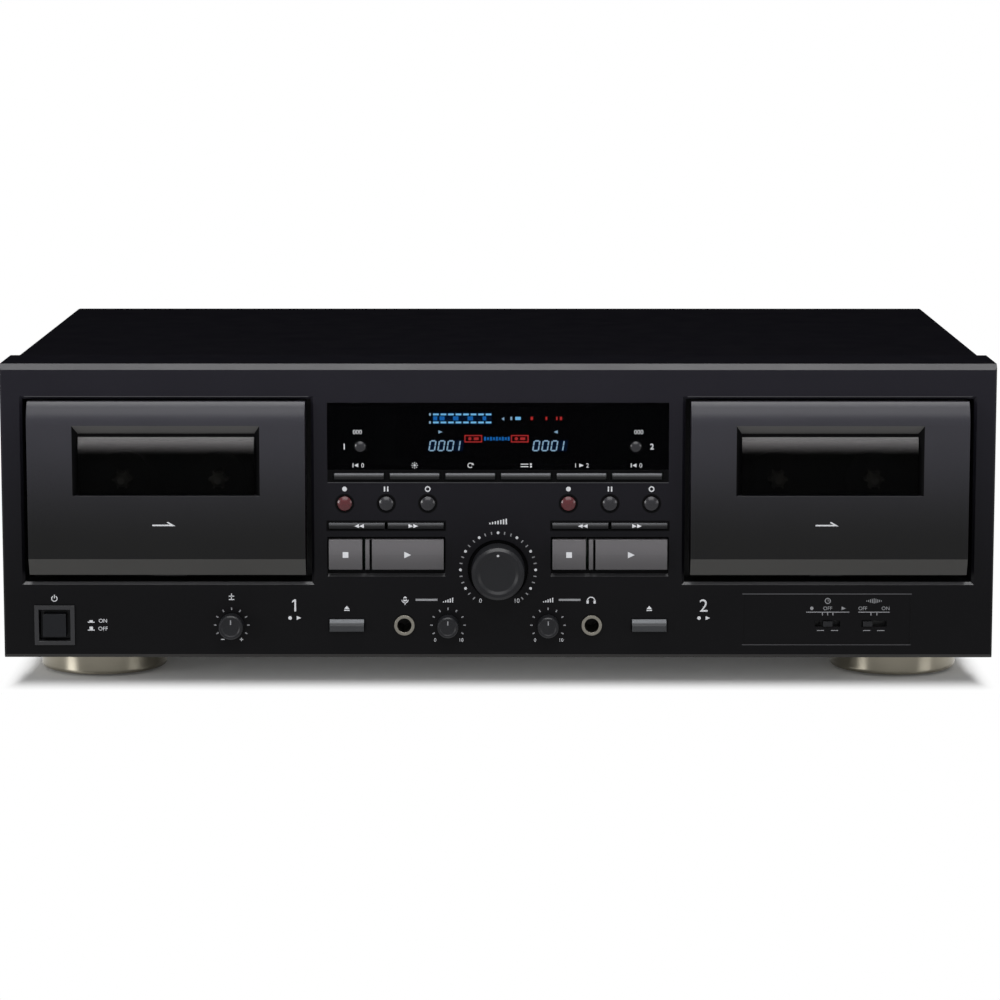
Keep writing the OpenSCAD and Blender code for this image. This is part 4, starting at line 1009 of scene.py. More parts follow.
    def _cross(self, work: bmesh.types.BMesh, low: Vector, high: Vector) -> None:
        """Draws one cross on a screw's outer face.

        Args:
            work: Mesh to draw in, in millimetres.
            low: The screw's lowest corner.
            high: The screw's highest corner.
        """
        middle = (low + high) / 2
        sideways = high.x - low.x > high.y - low.y
        outward = Vector((1, 0, 0)) if sideways else Vector((0, 1, 0))
        across = Vector((0, 1, 0)) if sideways else Vector((1, 0, 0))
        if sideways and middle.x < 0:
            outward = -outward
        depth = (high.x - low.x if sideways else high.y - low.y) / 2 - self.drive_sunk + PRINT_LIFT
        up = Vector((0, 0, 1))
        for long_way, short_way in ((across, up), (up, across)):
            along, aside = long_way * self.drive_length / 2, short_way * self.drive_line / 2
            points = [middle + outward * depth + along * a + aside * b for a, b in QUAD]
            work.faces.new([work.verts.new(p) for p in points])


def spin_profile(work: bmesh.types.BMesh, centre: Vector, profile: Sequence[Point], steps: int = 40) -> None:
    """Turns a profile round an axis that points to the back.

    Args:
        work: Mesh to add to; it is left in metres.
        centre: Axis across and up, in millimetres.
        profile: Radius and depth of each point, in millimetres.
        steps: Faces round the axis.
    """
    rings = []
    for i in range(steps):
        turn = math.tau * i / steps
        rings.append([work.verts.new(((centre.x + r * math.cos(turn)) * MM, y * MM,
                                      (centre.z + r * math.sin(turn)) * MM)) for r, y in profile])
    for i in range(steps):
        first, second = rings[i], rings[(i + 1) % steps]
        for k in range(len(profile) - 1):
            work.faces.new((first[k], second[k], second[k + 1], first[k + 1]))
    bmesh.ops.recalc_face_normals(work, faces=work.faces[:])


@dataclass
class DeckDoor:
    """One tilting door: its faces, pane and direction mark."""

    deck: int
    casework: Casework
    mark_up: float = 22.6
    mark_left: float = 1.1
    mark_w: float = 10.1
    mark_foot: float = -0.45
    mark_top: float = 0.2
    mark_barb: tuple[Point, ...] = ((-3.4, 1.5), (-3.8, 1.1), (-2.4, 0.2))
    window_half: float = 52.0
    rim_t: float = 1.5
    down_facet_tilt: float = 0.2
    rim_tilt: Point = (0.2, 0.1)

    def dress(self) -> None:
        """Paints the door and its pane, with painted reflections, highlights and shade, and prints the arrow
        that shows the tape's way.
        """
        node, window = f"door_{self.deck}", f"door_window_{self.deck}"
        low, high = millimetres(node)
        rim_y = millimetres(window)[1].y - self.rim_t
        middle = (low + high) / 2

        def pick(centre: Vector, normal: Vector) -> int:
            """Chooses face, lower facet or slope over the window, both painted lighter as a reflection of the
            floor, or a wall of the window's recess, painted black as shade.

            Args:
                centre: The face's middle in millimetres.
                normal: The way it looks.

            Returns:
                The finish's place in the list.
            """
            # Facets that face down are painted lighter: a painted reflection of the floor.
            if normal.y < -SLOPED and normal.z < -self.down_facet_tilt:
                return 2 if centre.z > middle.z else 1
            inside = abs(centre.x - middle.x) < self.window_half
            # The side walls of the window's recess are painted black: painted shade.
            sideways, forward = self.rim_tilt
            return 3 if inside and abs(normal.x) > sideways and normal.y < -forward else 0

        def pick_pane(centre: Vector, normal: Vector) -> int:
            """Chooses pane, rim painted black as shade, or back.

            Args:
                centre: The face's middle in millimetres.
                normal: The way it looks.

            Returns:
                The finish's place in the list.
            """
            if normal.y > FACING:
                return 2
            return 1 if centre.y > rim_y - TOUCH else 0

        self.casework.paint(node, DOOR, DOOR_FACET_REFLECTION, WINDOW_SLOPE_REFLECTION, SHADE_BLACK, pick=pick)
        self.casework.paint(window, PANE, SHADE_BLACK, PANE_BACK, pick=pick_pane)
        sheet = PrintSheet(f"door_arrow_{self.deck}", low.y, node, self.casework.shop.get(PRINT))
        z = low.z + self.mark_up
        left = middle.x - self.mark_left - self.mark_w / 2
        right = left + self.mark_w
        sheet.shape([(left, z + self.mark_foot), (right, z + self.mark_foot),
                     *((right + x, z + up) for x, up in self.mark_barb), (left, z + self.mark_top)])
        sheet.build()


@dataclass
class KeyField:
    """Keys, buttons and knobs: their finishes and the symbols on them.

    Attributes:
        groove: Depths between which the floor of the play key's groove lies.
        flare: Growth of a knob's radius for each millimetre towards the panel.
        knob_edge: Width of a knob's rounded edge, as a share of its radius.
        dot_in: Where the dot is, in edge widths in from the rim.
        dish_in: Where the dish inside a big knob's rim is flat, in edge widths.
        knob_line: Middle and length of a small knob's line as shares of its radius, and the line's width.
    """

    casework: Casework
    symbol: float = 2.5
    play_shift: float = 1.4
    key_lean: float = 0.5
    slim_symbol: float = 1.7
    slim_shift: float = 1.05
    slim_lean: float = 0.8
    head_w: float = 1.2
    play_h: float = 1.15
    head_step: float = 1.25
    rim: float = 0.8
    groove: Point = (0.9, 3.0)
    big_knob_r: float = 8.0
    flare: float = 0.02
    knob_edge: float = 1 / 9
    knob_dot: float = 1.12
    dot_in: float = 2.58
    dish_in: float = 3.0
    dish_lean: float = -0.5
    knob_line: tuple[float, float, float] = (0.45, 0.4, 0.5)

    def dress(self) -> None:
        """Paints every control and prints its symbol."""
        paint = self.casework.paint
        for deck in DECKS:
            paint(f"stop_key_{deck}", KEY_GREY)
            # The floor of the play key's groove is painted black: painted shade.
            paint(f"play_key_{deck}", KEY_GREY, SHADE_BLACK, pick=self._groove(f"play_key_{deck}"))
            for name, finish in (("pause_button", KEY_DARK), ("mute_button", KEY_DARK),
                                 ("counter_reset", KEY_DARK), ("eject_key", KEY_EJECT),
                                 ("rewind_key", KEY_SLIM), ("forward_key", KEY_SLIM), ("record_button", RED)):
                paint(f"{name}_{deck}", finish)
            self._symbols(deck)
        for name in FUNCTION_KEYS:
            paint(name, KEY_FUNCTION)
        paint("power_button", CAP)
        for name in ("timer_switch", "noise_switch"):
            paint(name, KNOB)
        for name in ("record_level_knob", "pitch_knob", "mic_level_knob", "phones_level_knob"):
            paint(name, KNOB)
            self._pointer(name)

    def _groove(self, node: str) -> FacePick:
        """Gives a choice that is 1 on the floor of the groove in a key's face, which is painted black as
        shade.

        Args:
            node: The key's name.

        Returns:
            The choice.
        """
        near, far = (millimetres(node)[0].y + depth for depth in self.groove)
        return lambda centre, normal: 1 if normal.y < -FACING and near < centre.y < far else 0

    def _sheet(self, node: str) -> tuple[PrintSheet, float, float]:
        """Starts the symbol of one key.

        Args:
            node: The key's name.

        Returns:
            The sheet, and the middle of the key's face across and up.
        """
        face = millimetres(node)[0].y
        return PrintSheet(f"{node}_symbol", face, node, self.casework.shop.get(PRINT)), *middle_of(node)

    def _fold(self, sheet: PrintSheet, lean: float) -> None:
        """Makes a symbol that follows the leaning upper half of its key.

        Args:
            sheet: The symbol.
            lean: How far the key's top edge is drawn back.
        """
        low, high = millimetres(sheet.body)
        half = (high.z - low.z) / 2 - self.rim
        sheet.build(fold_z=(low.z + high.z) / 2, lean=lean / half)

    def _symbols(self, deck: int) -> None:
        """Prints the symbols on one deck's keys.

        Args:
            deck: Which deck.
        """
        size, slim = self.symbol, self.slim_symbol
        sheet, x, z = self._sheet(f"stop_key_{deck}")
        sheet.bar(x, z, size, size)
        self._fold(sheet, self.key_lean)
        sheet, x, z = self._sheet(f"play_key_{deck}")
        sheet.head(x + self.play_shift, z, self.head_w * size, self.play_h * size, Way.RIGHT)
        self._fold(sheet, self.key_lean)
        for name, way, shift in (("rewind", Way.LEFT, self.slim_shift),
                                 ("forward", Way.RIGHT, -self.slim_shift)):
            sheet, x, z = self._sheet(f"{name}_key_{deck}")
            for step in (-0.5, 0.5):
                sheet.head(x + shift + step * self.head_step * slim, z, self.head_w * slim, slim, way)
            self._fold(sheet, self.slim_lean)

    def _pointer(self, node: str) -> None:
        """Prints the pointer of one knob: a dot on the slope inside a big knob's rim, a line on a small one.

        Args:
            node: The knob's name.
        """
        low, high = millimetres(node)
        x, z = middle_of(node)
        radius = (high.x - low.x) / 2 - self.flare * (millimetres("front_panel")[0].y - low.y)
        edge = radius * self.knob_edge
        big = radius > self.big_knob_r
        material = self.casework.shop.get(PRINT if big else PRINT_GREY)
        sheet = PrintSheet(f"{node}_pointer", low.y + edge / 2, node, material)
        if big:
            sheet.disc(x, z + radius - self.dot_in * edge, self.knob_dot)
            sheet.build(fold_z=z + radius - self.dish_in * edge, lean=self.dish_lean)
        else:
            place, length, line = self.knob_line
            sheet.tick(x, z, place * radius, length * radius, line, 0.0)
            sheet.build()


@dataclass
class PanelPrint:
    """Marks on the front panel and the display window: figures, scales and plain signs, with painted shade
    round keys and painted highlights along edges.
    """

    casework: Casework
    label: float = 1.9
    small_label: float = 1.5
    word: float = 1.6
    line: float = 0.4
    thin: float = 0.35
    dial_start: float = -150.0
    dial_ends: tuple[str, str] = ("0", "10")
    ring_r: float = 16.5
    ring_step: float = 10.0
    ring_tick: Point = (1.3, 0.5)
    ring_dot: float = 1.25
    ring_ends: Point = (-7.7, 8.4)
    ring_foot: float = 13.7
    wedge_up: float = 20.6
    small_ring_r: float = 7.3
    small_ring_step: float = 30.0
    small_ring_tick: Point = (1.1, 0.55)
    small_ring_ends: Point = (-5.7, 5.9)
    small_ring_foot: float = 6.6
    small_wedge_up: float = 10.4
    pitch_ends: Point = (-4.0, 4.2)
    pitch_foot: float = 6.4
    pitch_end: float = 1.5
    pitch_sign: float = 2.4
    pitch_sign_ups: Point = (11.4, 12.9)
    jack_out: float = 18.9
    jack_line_up: float = 11.3
    number_xs: Point = (-89.5, 90.4)
    number_z: float = 38.4
    number_h: float = 5.5
    way_z: float = 32.8
    button_sign_up: float = 6.4
    power_sign_up: float = 3.0
    state_out: float = 7.2
    switch_sunk: float = 0.4
    switch_tick_up: float = 4.4
    switch_line_up: float = 5.2
    switch_word_up: float = 6.9
    switch_sign_up: float = 10.2
    switch_foot: float = 3.0
    noise_middle: float = 5.8
    field_middle: Point = (-10.6, 2.0)
    field_line: tuple[float, float, float] = (73.9, 22.7, 0.5)
    rim: float = 0.8
    slot: float = 0.35
    gap_shade_foot: float = 0.9
    slim_edge: float = 0.7
    button_ring: float = 7.7
    button_ring_line: float = 0.8
    door_edge_up: float = 2.0
    door_edge_over: float = 3.0
    under_keys_edge: Point = (1.1, 0.3)
    key_sign_up: float = 1.9
    face: float = field(init=False)
    white: PrintSheet = field(init=False)
    grey: PrintSheet = field(init=False)

    def __post_init__(self) -> None:
        """Starts the two sheets that hold most of the marks."""
        self.face = millimetres("front_panel")[0].y
        self.white = self._sheet("panel_marks", PRINT)
        self.grey = self._sheet("panel_lines", PRINT_GREY)

    def build(self) -> None:
        """Prints all of it."""
        self._record_scale()
        self._small_scales()
        self._jack_signs()
        self._deck_signs()
        self._power_signs()
        self._switch_signs()
        self.white.build()
        self.grey.build()
        self._key_gap_shade()
        self._aperture_highlights()
        self._window_signs()

    def _sheet(self, name: str, finish: Finish, sunk: float = 0.0) -> PrintSheet:
        """Starts a sheet on the panel.

        Args:
            name: The piece's name.
            finish: Its finish.
            sunk: How far it lies behind the panel's face.

        Returns:
            The empty sheet.
        """
        return PrintSheet(name, self.face + sunk, "case", self.casework.shop.get(finish))

    def _record_scale(self) -> None:
        """Prints the dial round the recording level knob, from 0 to 10, and a rising wedge above it."""
        x, z = middle_of("record_level_knob")
        for step in range(1, 30):
            angle = self.dial_start + self.ring_step * step
            if step % 3:
                self.grey.tick(x, z, self.ring_r, *self.ring_tick, angle)
            else:
                spot = Vector((x, z)) + directions(90 - angle)[0] * self.ring_r
                self.white.disc(spot.x, spot.y, self.ring_dot)
        for words, end in zip(self.dial_ends, self.ring_ends):
            self.white.glyphs(words, x + end, z - self.ring_foot, self.label)
        self.white.wedge(x, z + self.wedge_up, bars=7, pitch=1.2, width=0.6, low=0.7, rise=0.3)

    def _small_scales(self) -> None:
        """Prints the dials of the small knobs."""
        for name in ("mic_level_knob", "phones_level_knob", "pitch_knob"):
            x, z = middle_of(name)
            for step in range(1, 10):
                angle = self.dial_start + self.small_ring_step * step
                self.grey.tick(x, z, self.small_ring_r, *self.small_ring_tick, angle)
            if name == "pitch_knob":
                (less, more), (minus_up, plus_up) = self.pitch_ends, self.pitch_sign_ups
                self.white.bar(x + less, z - self.pitch_foot, self.pitch_end, self.line)
                self.white.plus(x + more, z - self.pitch_foot, self.pitch_end, self.line)
                self.white.bar(x, z + minus_up, self.pitch_sign, self.line)
                self.white.plus(x, z + plus_up, self.pitch_sign, self.line)
            else:
                for words, end in zip(self.dial_ends, self.small_ring_ends):
                    self.white.glyphs(words, x + end, z - self.small_ring_foot, self.small_label)

    def _jack_signs(self) -> None:
        """Prints a line from each level knob to its jack, a wedge over the knob and a sign over the jack."""
        for name, side in (("mic_level_knob", -1), ("phones_level_knob", 1)):
            x, z = middle_of(name)
            jack, up = x + side * self.jack_out, z + self.jack_line_up
            self.grey.bar((x + jack) / 2, up, 9.6, 0.9)
            self.white.wedge(x, z + self.small_wedge_up, bars=5, pitch=1.0, width=0.5, low=0.5, rise=0.4)
            if side < 0:
                self.white.disc(jack, up + 0.7, 1.5)
                self.white.bar(jack, up, 1.5, 1.4)
                self.white.arc(jack, up, 2.7, self.thin, 180, 180)
                self.white.bar(jack, up - 1.8, self.thin, 0.9)
            else:
                self.white.arc(jack, up - 0.4, 3.2, self.line, 0, 180)
                for ear in SIDES:
                    self.white.bar(jack + ear * 1.55, up - 0.9, 0.9, 1.5)

    def _deck_signs(self) -> None:
        """Prints the decks' figures and the signs over their buttons and eject keys."""
        sheet, up = self.white, self.button_sign_up
        for deck, number_x in zip(DECKS, self.number_xs):
            if deck == 1:
                sheet.bar(number_x + 0.3, self.number_z, 0.75, 5.4)
                flag = ((-1.1, 1.2), (-0.07, 1.8), (-0.07, 2.7), (-1.1, 1.9))
                sheet.shape([(number_x + x, self.number_z + z) for x, z in flag])
            else:
                sheet.glyphs("2", number_x, self.number_z, self.number_h)
            sheet.disc(number_x - 2.0, self.way_z, 1.6)
            sheet.head(number_x + 1.9, self.way_z, 2.0, 1.8, Way.RIGHT)
            x, z = middle_of(f"eject_key_{deck}")
            sheet.head(x, z + 7.9, 1.5, 2.4, Way.UP)
            sheet.bar(x, z + 6.6, 2.4, 0.45)
            x, z = middle_of(f"record_button_{deck}")
            sheet.disc(x, z + up, 2.1)
            x, z = middle_of(f"pause_button_{deck}")
            for side in SIDES:
                sheet.bar(x + side * 0.7, z + up, 0.6, 2.2)
            x, z = middle_of(f"mute_button_{deck}")
            sheet.arc(x, z + up, 2.0, 0.5)

    def _power_signs(self) -> None:
        """Prints the power sign and the two states of the button."""
        high = millimetres("power_bezel")[1]
        x, z = middle_of("power_bezel")
        top = high.z + self.power_sign_up
        self.white.arc(x, top, 2.4, self.line, 120, 300)
        self.white.bar(x, top + 0.9, self.line, 1.6)
        state_x = high.x + self.state_out
        for words, up, cap_up, cap_h in (("ON", 1.9, -0.1, 0.7), ("OFF", -1.6, 0.2, 1.4)):
            self.white.glyphs(words, state_x + 5.2, z + up, 1.7)
            self.white.bar(state_x, z + up - 0.65, 3.0, self.line)
            self.white.bar(state_x, z + up + cap_up, 1.5, cap_h)

    def _switch_signs(self) -> None:
        """Prints the brackets, ticks and states of the two slide switches."""
        sheet = self._sheet("switch_marks", PRINT_GREY, self.switch_sunk)
        timer_x, z = middle_of("timer_switch")
        noise_x = millimetres("noise_switch")[0].x + self.noise_middle
        word_z, sign_z = z + self.switch_word_up, z + self.switch_sign_up
        self._field_edge_highlights((timer_x + noise_x) / 2 + self.field_middle[0], z + self.field_middle[1])
        for x, width, ticks in ((timer_x, 19.0, (-2.3, 0.0, 2.3)), (noise_x, 13.8, (-1.3, 1.3))):
            sheet.bar(x, z + self.switch_line_up, width, self.thin)
            for step in ticks:
                sheet.bar(x + step, z + self.switch_tick_up, self.line, 1.3)
            for side in SIDES:
                sheet.bar(x + side * 3.1, z - self.switch_foot, 3.2, self.thin)
        sheet.disc(timer_x - 7.0, word_z, 1.5)
        sheet.head(timer_x + 7.0, word_z, 1.8, 1.6, Way.RIGHT)
        sheet.arc(timer_x, sign_z, 2.3, self.thin)
        sheet.bar(timer_x + 0.1, sign_z + 0.35, 0.3, 0.9)
        sheet.bar(timer_x + 0.35, sign_z, 0.8, 0.3)
        for words, x in (("OFF", timer_x), ("OFF", noise_x - 4.9), ("ON", noise_x + 5.1)):
            sheet.glyphs(words, x, word_z, self.word)
        for step in range(-4, 5):
            sheet.bar(noise_x + 0.8 * step, sign_z, self.thin, 0.5 + 0.45 * (4 - abs(step)))
        sheet.build()

    def _field_edge_highlights(self, x: float, z: float) -> None:
        """Draws painted highlights along the edges over and under the switches' field.

        Args:
            x: Middle of the field across.
            z: Middle of the field up.
        """
        sheet = self._sheet("switch_field_edge_highlight", EDGE_HIGHLIGHT)
        width, height, line = self.field_line
        for side, share in ((-1, 0.6), (1, 1.0)):
            sheet.bar(x, z + side * height / 2, width + line, share * line)
        sheet.build()

    def _key_gap_shade(self) -> None:
        """Draws painted shade: black round and between the function keys, black edges round the slim keys and
        black rings round the buttons, where their gaps lie in shade.
        """
        # Painted shade in the gaps round keys and buttons.
        sheet = self._sheet("key_beds", SHADE_BLACK)
        window = millimetres("display_window")
        boxes = [millimetres(name) for name in FUNCTION_KEYS]
        inner_low, inner_high = self._hole(boxes[0][0], boxes[-1][1])
        self._frame(sheet, (window[0].x, inner_low[1] - self.gap_shade_foot), (window[1].x, window[0].z),
                    inner_low, inner_high)
        tall, middle_z = inner_high[1] - inner_low[1], (inner_low[1] + inner_high[1]) / 2
        for first, second in zip(boxes, boxes[1:]):
            start, end = first[1].x + self.slot, second[0].x - self.slot
            sheet.bar((start + end) / 2, middle_z, end - start, tall)
        for deck in DECKS:
            inner = self._hole(millimetres(f"rewind_key_{deck}")[0], millimetres(f"forward_key_{deck}")[1])
            outer = [(x + side * self.slim_edge, z + side * self.slim_edge)
                     for (x, z), side in zip(inner, SIDES)]
            self._frame(sheet, *outer, *inner)
            for name in ("record", "pause", "mute"):
                spot = middle_of(f"{name}_button_{deck}")
                sheet.arc(*spot, self.button_ring, self.button_ring_line)
        sheet.build()

    def _hole(self, low: Vector, high: Vector) -> tuple[Point, Point]:
        """Gives the panel's opening round a row of keys.

        Args:
            low: Lowest corner of the first key with its rim.
            high: Highest corner of the last key with its rim.

        Returns:
            The opening's lower left and upper right corner.
        """
        up = self.rim - self.slot
        return (low.x - self.slot, low.z + up), (high.x + self.slot, high.z - up)

    @staticmethod
    def _frame(sheet: PrintSheet, low: Point, high: Point, inner_low: Point, inner_high: Point) -> None:
        """Draws a rectangular frame.

        Args:
            sheet: Where it is drawn.
            low: Its lower left corner.
            high: Its upper right corner.
            inner_low: Lower left corner of what it leaves free.
            inner_high: Upper right corner of what it leaves free.
        """
        for x0, z0, x1, z1 in ((*low, high[0], inner_low[1]), (low[0], inner_high[1], *high),
                               (low[0], inner_low[1], inner_low[0], inner_high[1]),
                               (inner_high[0], inner_low[1], high[0], inner_high[1])):
            sheet.bar((x0 + x1) / 2, (z0 + z1) / 2, x1 - x0, z1 - z0)

    def _aperture_highlights(self) -> None:
        """Draws painted highlights: the thin light line over each door's opening and under the function keys.
        """
        sheet = self._sheet("aperture_edges", EDGE_HIGHLIGHT)
        for deck in DECKS:
            low, high = millimetres(f"door_{deck}")
            width = high.x - low.x + self.door_edge_over
            sheet.bar((low.x + high.x) / 2, high.z + self.door_edge_up, width, self.thin)
        low, high = millimetres("display_window")
        drop, line = self.under_keys_edge
        under = millimetres(FUNCTION_KEYS[0])[0].z + self.rim - self.slot - drop
        sheet.bar(0.0, under, high.x - low.x, line)
        sheet.build()

    def _window_signs(self) -> None:
        """Prints the figures and signs on the display window, over the keys and by the reset buttons."""
        window = millimetres("display_window")[0]
        sheet = PrintSheet("window_marks", window.y, "case", self.casework.shop.get(PRINT))
        for deck, side in zip(DECKS, SIDES):
            x, z = middle_of(f"counter_reset_{deck}")
            sheet.glyphs(str(deck), x + side * 7.0, z, 2.6, heavy=0.02)
            sheet.glyphs("000", x + side * 1.2, z + 6.4, self.label)
        z = window.z + self.key_sign_up
        first, sun, turn, lines, swap, last = (middle_of(name)[0] for name in FUNCTION_KEYS)
        for x in (first, last):
            sheet.glyphs("0", x + 1.6, z, self.label)
            sheet.head(x - 1.2, z, 1.8, 1.7, Way.LEFT)
            sheet.bar(x - 2.6, z, self.line, 1.8)
        sheet.disc(sun, z, 1.0)
        for ray in range(8):
            sheet.tick(sun, z, 1.15, 0.6, 0.3, 45 * ray)
        sheet.arc(turn, z, 2.0, self.line, 30, 290)
        sheet.head(turn + 1.1, z + 0.7, 1.1, 1.2, Way.UP)
        for up in (-0.55, 0.55):
            sheet.bar(lines - 0.6, z + up, 3.4, self.line)
            sheet.disc(lines + 2.2, z + up, 0.9)
        sheet.glyphs("1", swap - 2.6, z, self.label)
        sheet.head(swap, z, 2.0, 1.7, Way.RIGHT)
        sheet.glyphs("2", swap + 2.6, z, self.label)
        sheet.build()


@dataclass
class DisplayLight:
    """Lit segments on the display tube, seen through the smoked window."""

    shop: FinishShop
    tube_y: float = -121.0
    meter_z: float = 120.15
    meter_rows: Point = (-1.8, 1.75)
    dash_start: float = -27.3
    dash_pitch: float = 3.3
    dash: Point = (2.5, 0.8)
    row_mark: tuple[float, float, float] = (-29.9, 0.8, 1.1)
    meter_back: tuple[float, float, float] = (-15.8, 26.0, 5.4)
    scale_marks: tuple[Point, ...] = ((-27.6, 1.8), (-24.6, 2.2), (-18.6, 2.4), (-12.2, 2.4), (-6.0, 1.6))
    scale_h: float = 1.8
    peak_marks: tuple[Point, ...] = ((14.8, 1.1), (21.2, 0.8), (25.8, 0.7), (27.6, 1.0))
    peak_h: float = 1.5
    arrow_z: float = 114.15
    arrow_x: float = 25.3
    arrow: Point = (1.8, 1.5)
    frame_z: float = 111.15
    frame_xs: Point = (-10.9, 9.5)
    frame_size: tuple[float, float, float] = (7.8, 2.8, 0.5)
    strip_start: float = -5.75
    strip_pitch: float = 1.3
    strip_w: float = 0.85
    strip_hs: Point = (1.7, 1.3)
    counter_z: float = 108.05
    counter_xs: Point = (-30.05, 15.6)
    slant: float = 0.16
    digit_w: float = 2.4
    digit_h: float = 4.3
    digit_pitch: float = 3.95
    digit_gap: float = 0.12
    one_across: float = 0.52
    stroke: float = 0.6
    dim: PrintSheet = field(init=False)
    azure: PrintSheet = field(init=False)
    blue: PrintSheet = field(init=False)
    ice: PrintSheet = field(init=False)
    red: PrintSheet = field(init=False)

    def __post_init__(self) -> None:
        """Starts a sheet for each colour of light, the unlit one, with its painted glow, behind the others.
        """
        self.dim = self._sheet("unlit", UNLIT_GLOW, PRINT_LIFT / 2)
        self.azure = self._sheet("meter", AZURE)
        self.blue = self._sheet("blue", BLUE)
        self.ice = self._sheet("pale", ICE)
        self.red = self._sheet("red", SCARLET)

    def _sheet(self, name: str, glow: Glow, sunk: float = 0.0) -> PrintSheet:
        """Starts a sheet of segments.

        Args:
            name: What they are.
            glow: Their light.
            sunk: How far they lie behind the tube's face.

        Returns:
            The empty sheet.
        """
        return PrintSheet(f"display_{name}_segments", self.tube_y + sunk, "case", self.shop.get(glow))

    def build(self) -> None:
        """Lights the level meter, the counters and the signs."""
        self._meter()
        for x in self.counter_xs:
            for place, figure in enumerate("0001"):
                self._figure(figure, x + self.digit_pitch * place)
        self._signs()
        for sheet in (self.dim, self.azure, self.blue, self.ice, self.red):
            sheet.build()

    def _meter(self) -> None:
        """Lights the two rows of the level meter and the marks beside it."""
        z = self.meter_z
        x, width, height = self.row_mark
        for up in self.meter_rows:
            self.ice.bar(x, z + up, width, height)
            for step in range(8):
                self.azure.bar(self.dash_start + self.dash_pitch * step, z + up, *self.dash)
        x, width, height = self.meter_back
        self.dim.bar(x, z, width, height)
        for x, width in self.scale_marks:
            self.blue.bar(x, z, width, self.scale_h)
        self.ice.head(2.1, z - 0.2, 1.2, 1.6, Way.LEFT)
        self.ice.bar(5.8, z, 0.8, 1.5)
        self.azure.bar(8.75, z, 2.4, 1.4)
        for x, width in self.peak_marks:
            self.red.bar(x, z, width, self.peak_h)

    def _figure(self, figure: str, x: float) -> None:
        """Lights one seven-segment figure of a counter.

        Args:
            figure: 0 or 1.
            x: Left edge at the middle of its height.
        """
        z, w, half, line = self.counter_z, self.digit_w, self.digit_h / 2, self.stroke
        shift, tall = self.slant * half, half + line / 2
        self.dim.shape([(x - line - shift, z - tall), (x + w + line - shift, z - tall),
                        (x + w + line + shift, z + tall), (x - line + shift, z + tall)])
        for across in (self.one_across * w,) if figure == "1" else (0.0, w):
            left, right = x + across - line / 2, x + across + line / 2
            for side in SIDES:
                low, high = sorted((side * self.digit_gap, side * (half - self.digit_gap)))
                self.ice.shape([(left + self.slant * low, z + low), (right + self.slant * low, z + low),
                                (right + self.slant * high, z + high), (left + self.slant * high, z + high)])
        if figure == "0":
            for up in (-half, half):
                self.ice.bar(x + w / 2 + self.slant * up, z + up, w - line, line)

    def _signs(self) -> None:
        """Lights the direction marks, the two red frames and the strip between them."""
        z = self.frame_z
        self.ice.head(-self.arrow_x, self.arrow_z, *self.arrow, Way.RIGHT)
        self.ice.head(self.arrow_x, self.arrow_z, *self.arrow, Way.LEFT)
        width, height, line = self.frame_size
        for x in self.frame_xs:
            for side in SIDES:
                self.red.bar(x, z + side * height / 2, width, line)
                self.red.bar(x + side * (width - line) / 2, z, line, height)
            self.red.disc(x - 1.5, z, 1.5)
            self.red.bar(x + 1.3, z, 2.2, 1.2)
        for step in range(9):
            x = self.strip_start + self.strip_pitch * step
            self.blue.bar(x, z, self.strip_w, self.strip_hs[step % 2])


@dataclass(frozen=True)
class Softbox:
    """One soft lamp of the studio.

    Attributes:
        spot: Where it hangs.
        aim: What it points at.
        size: Its width and height.
        power: Its power in watts.
    """

    name: str
    spot: Spot
    aim: Spot
    size: Point
    power: float


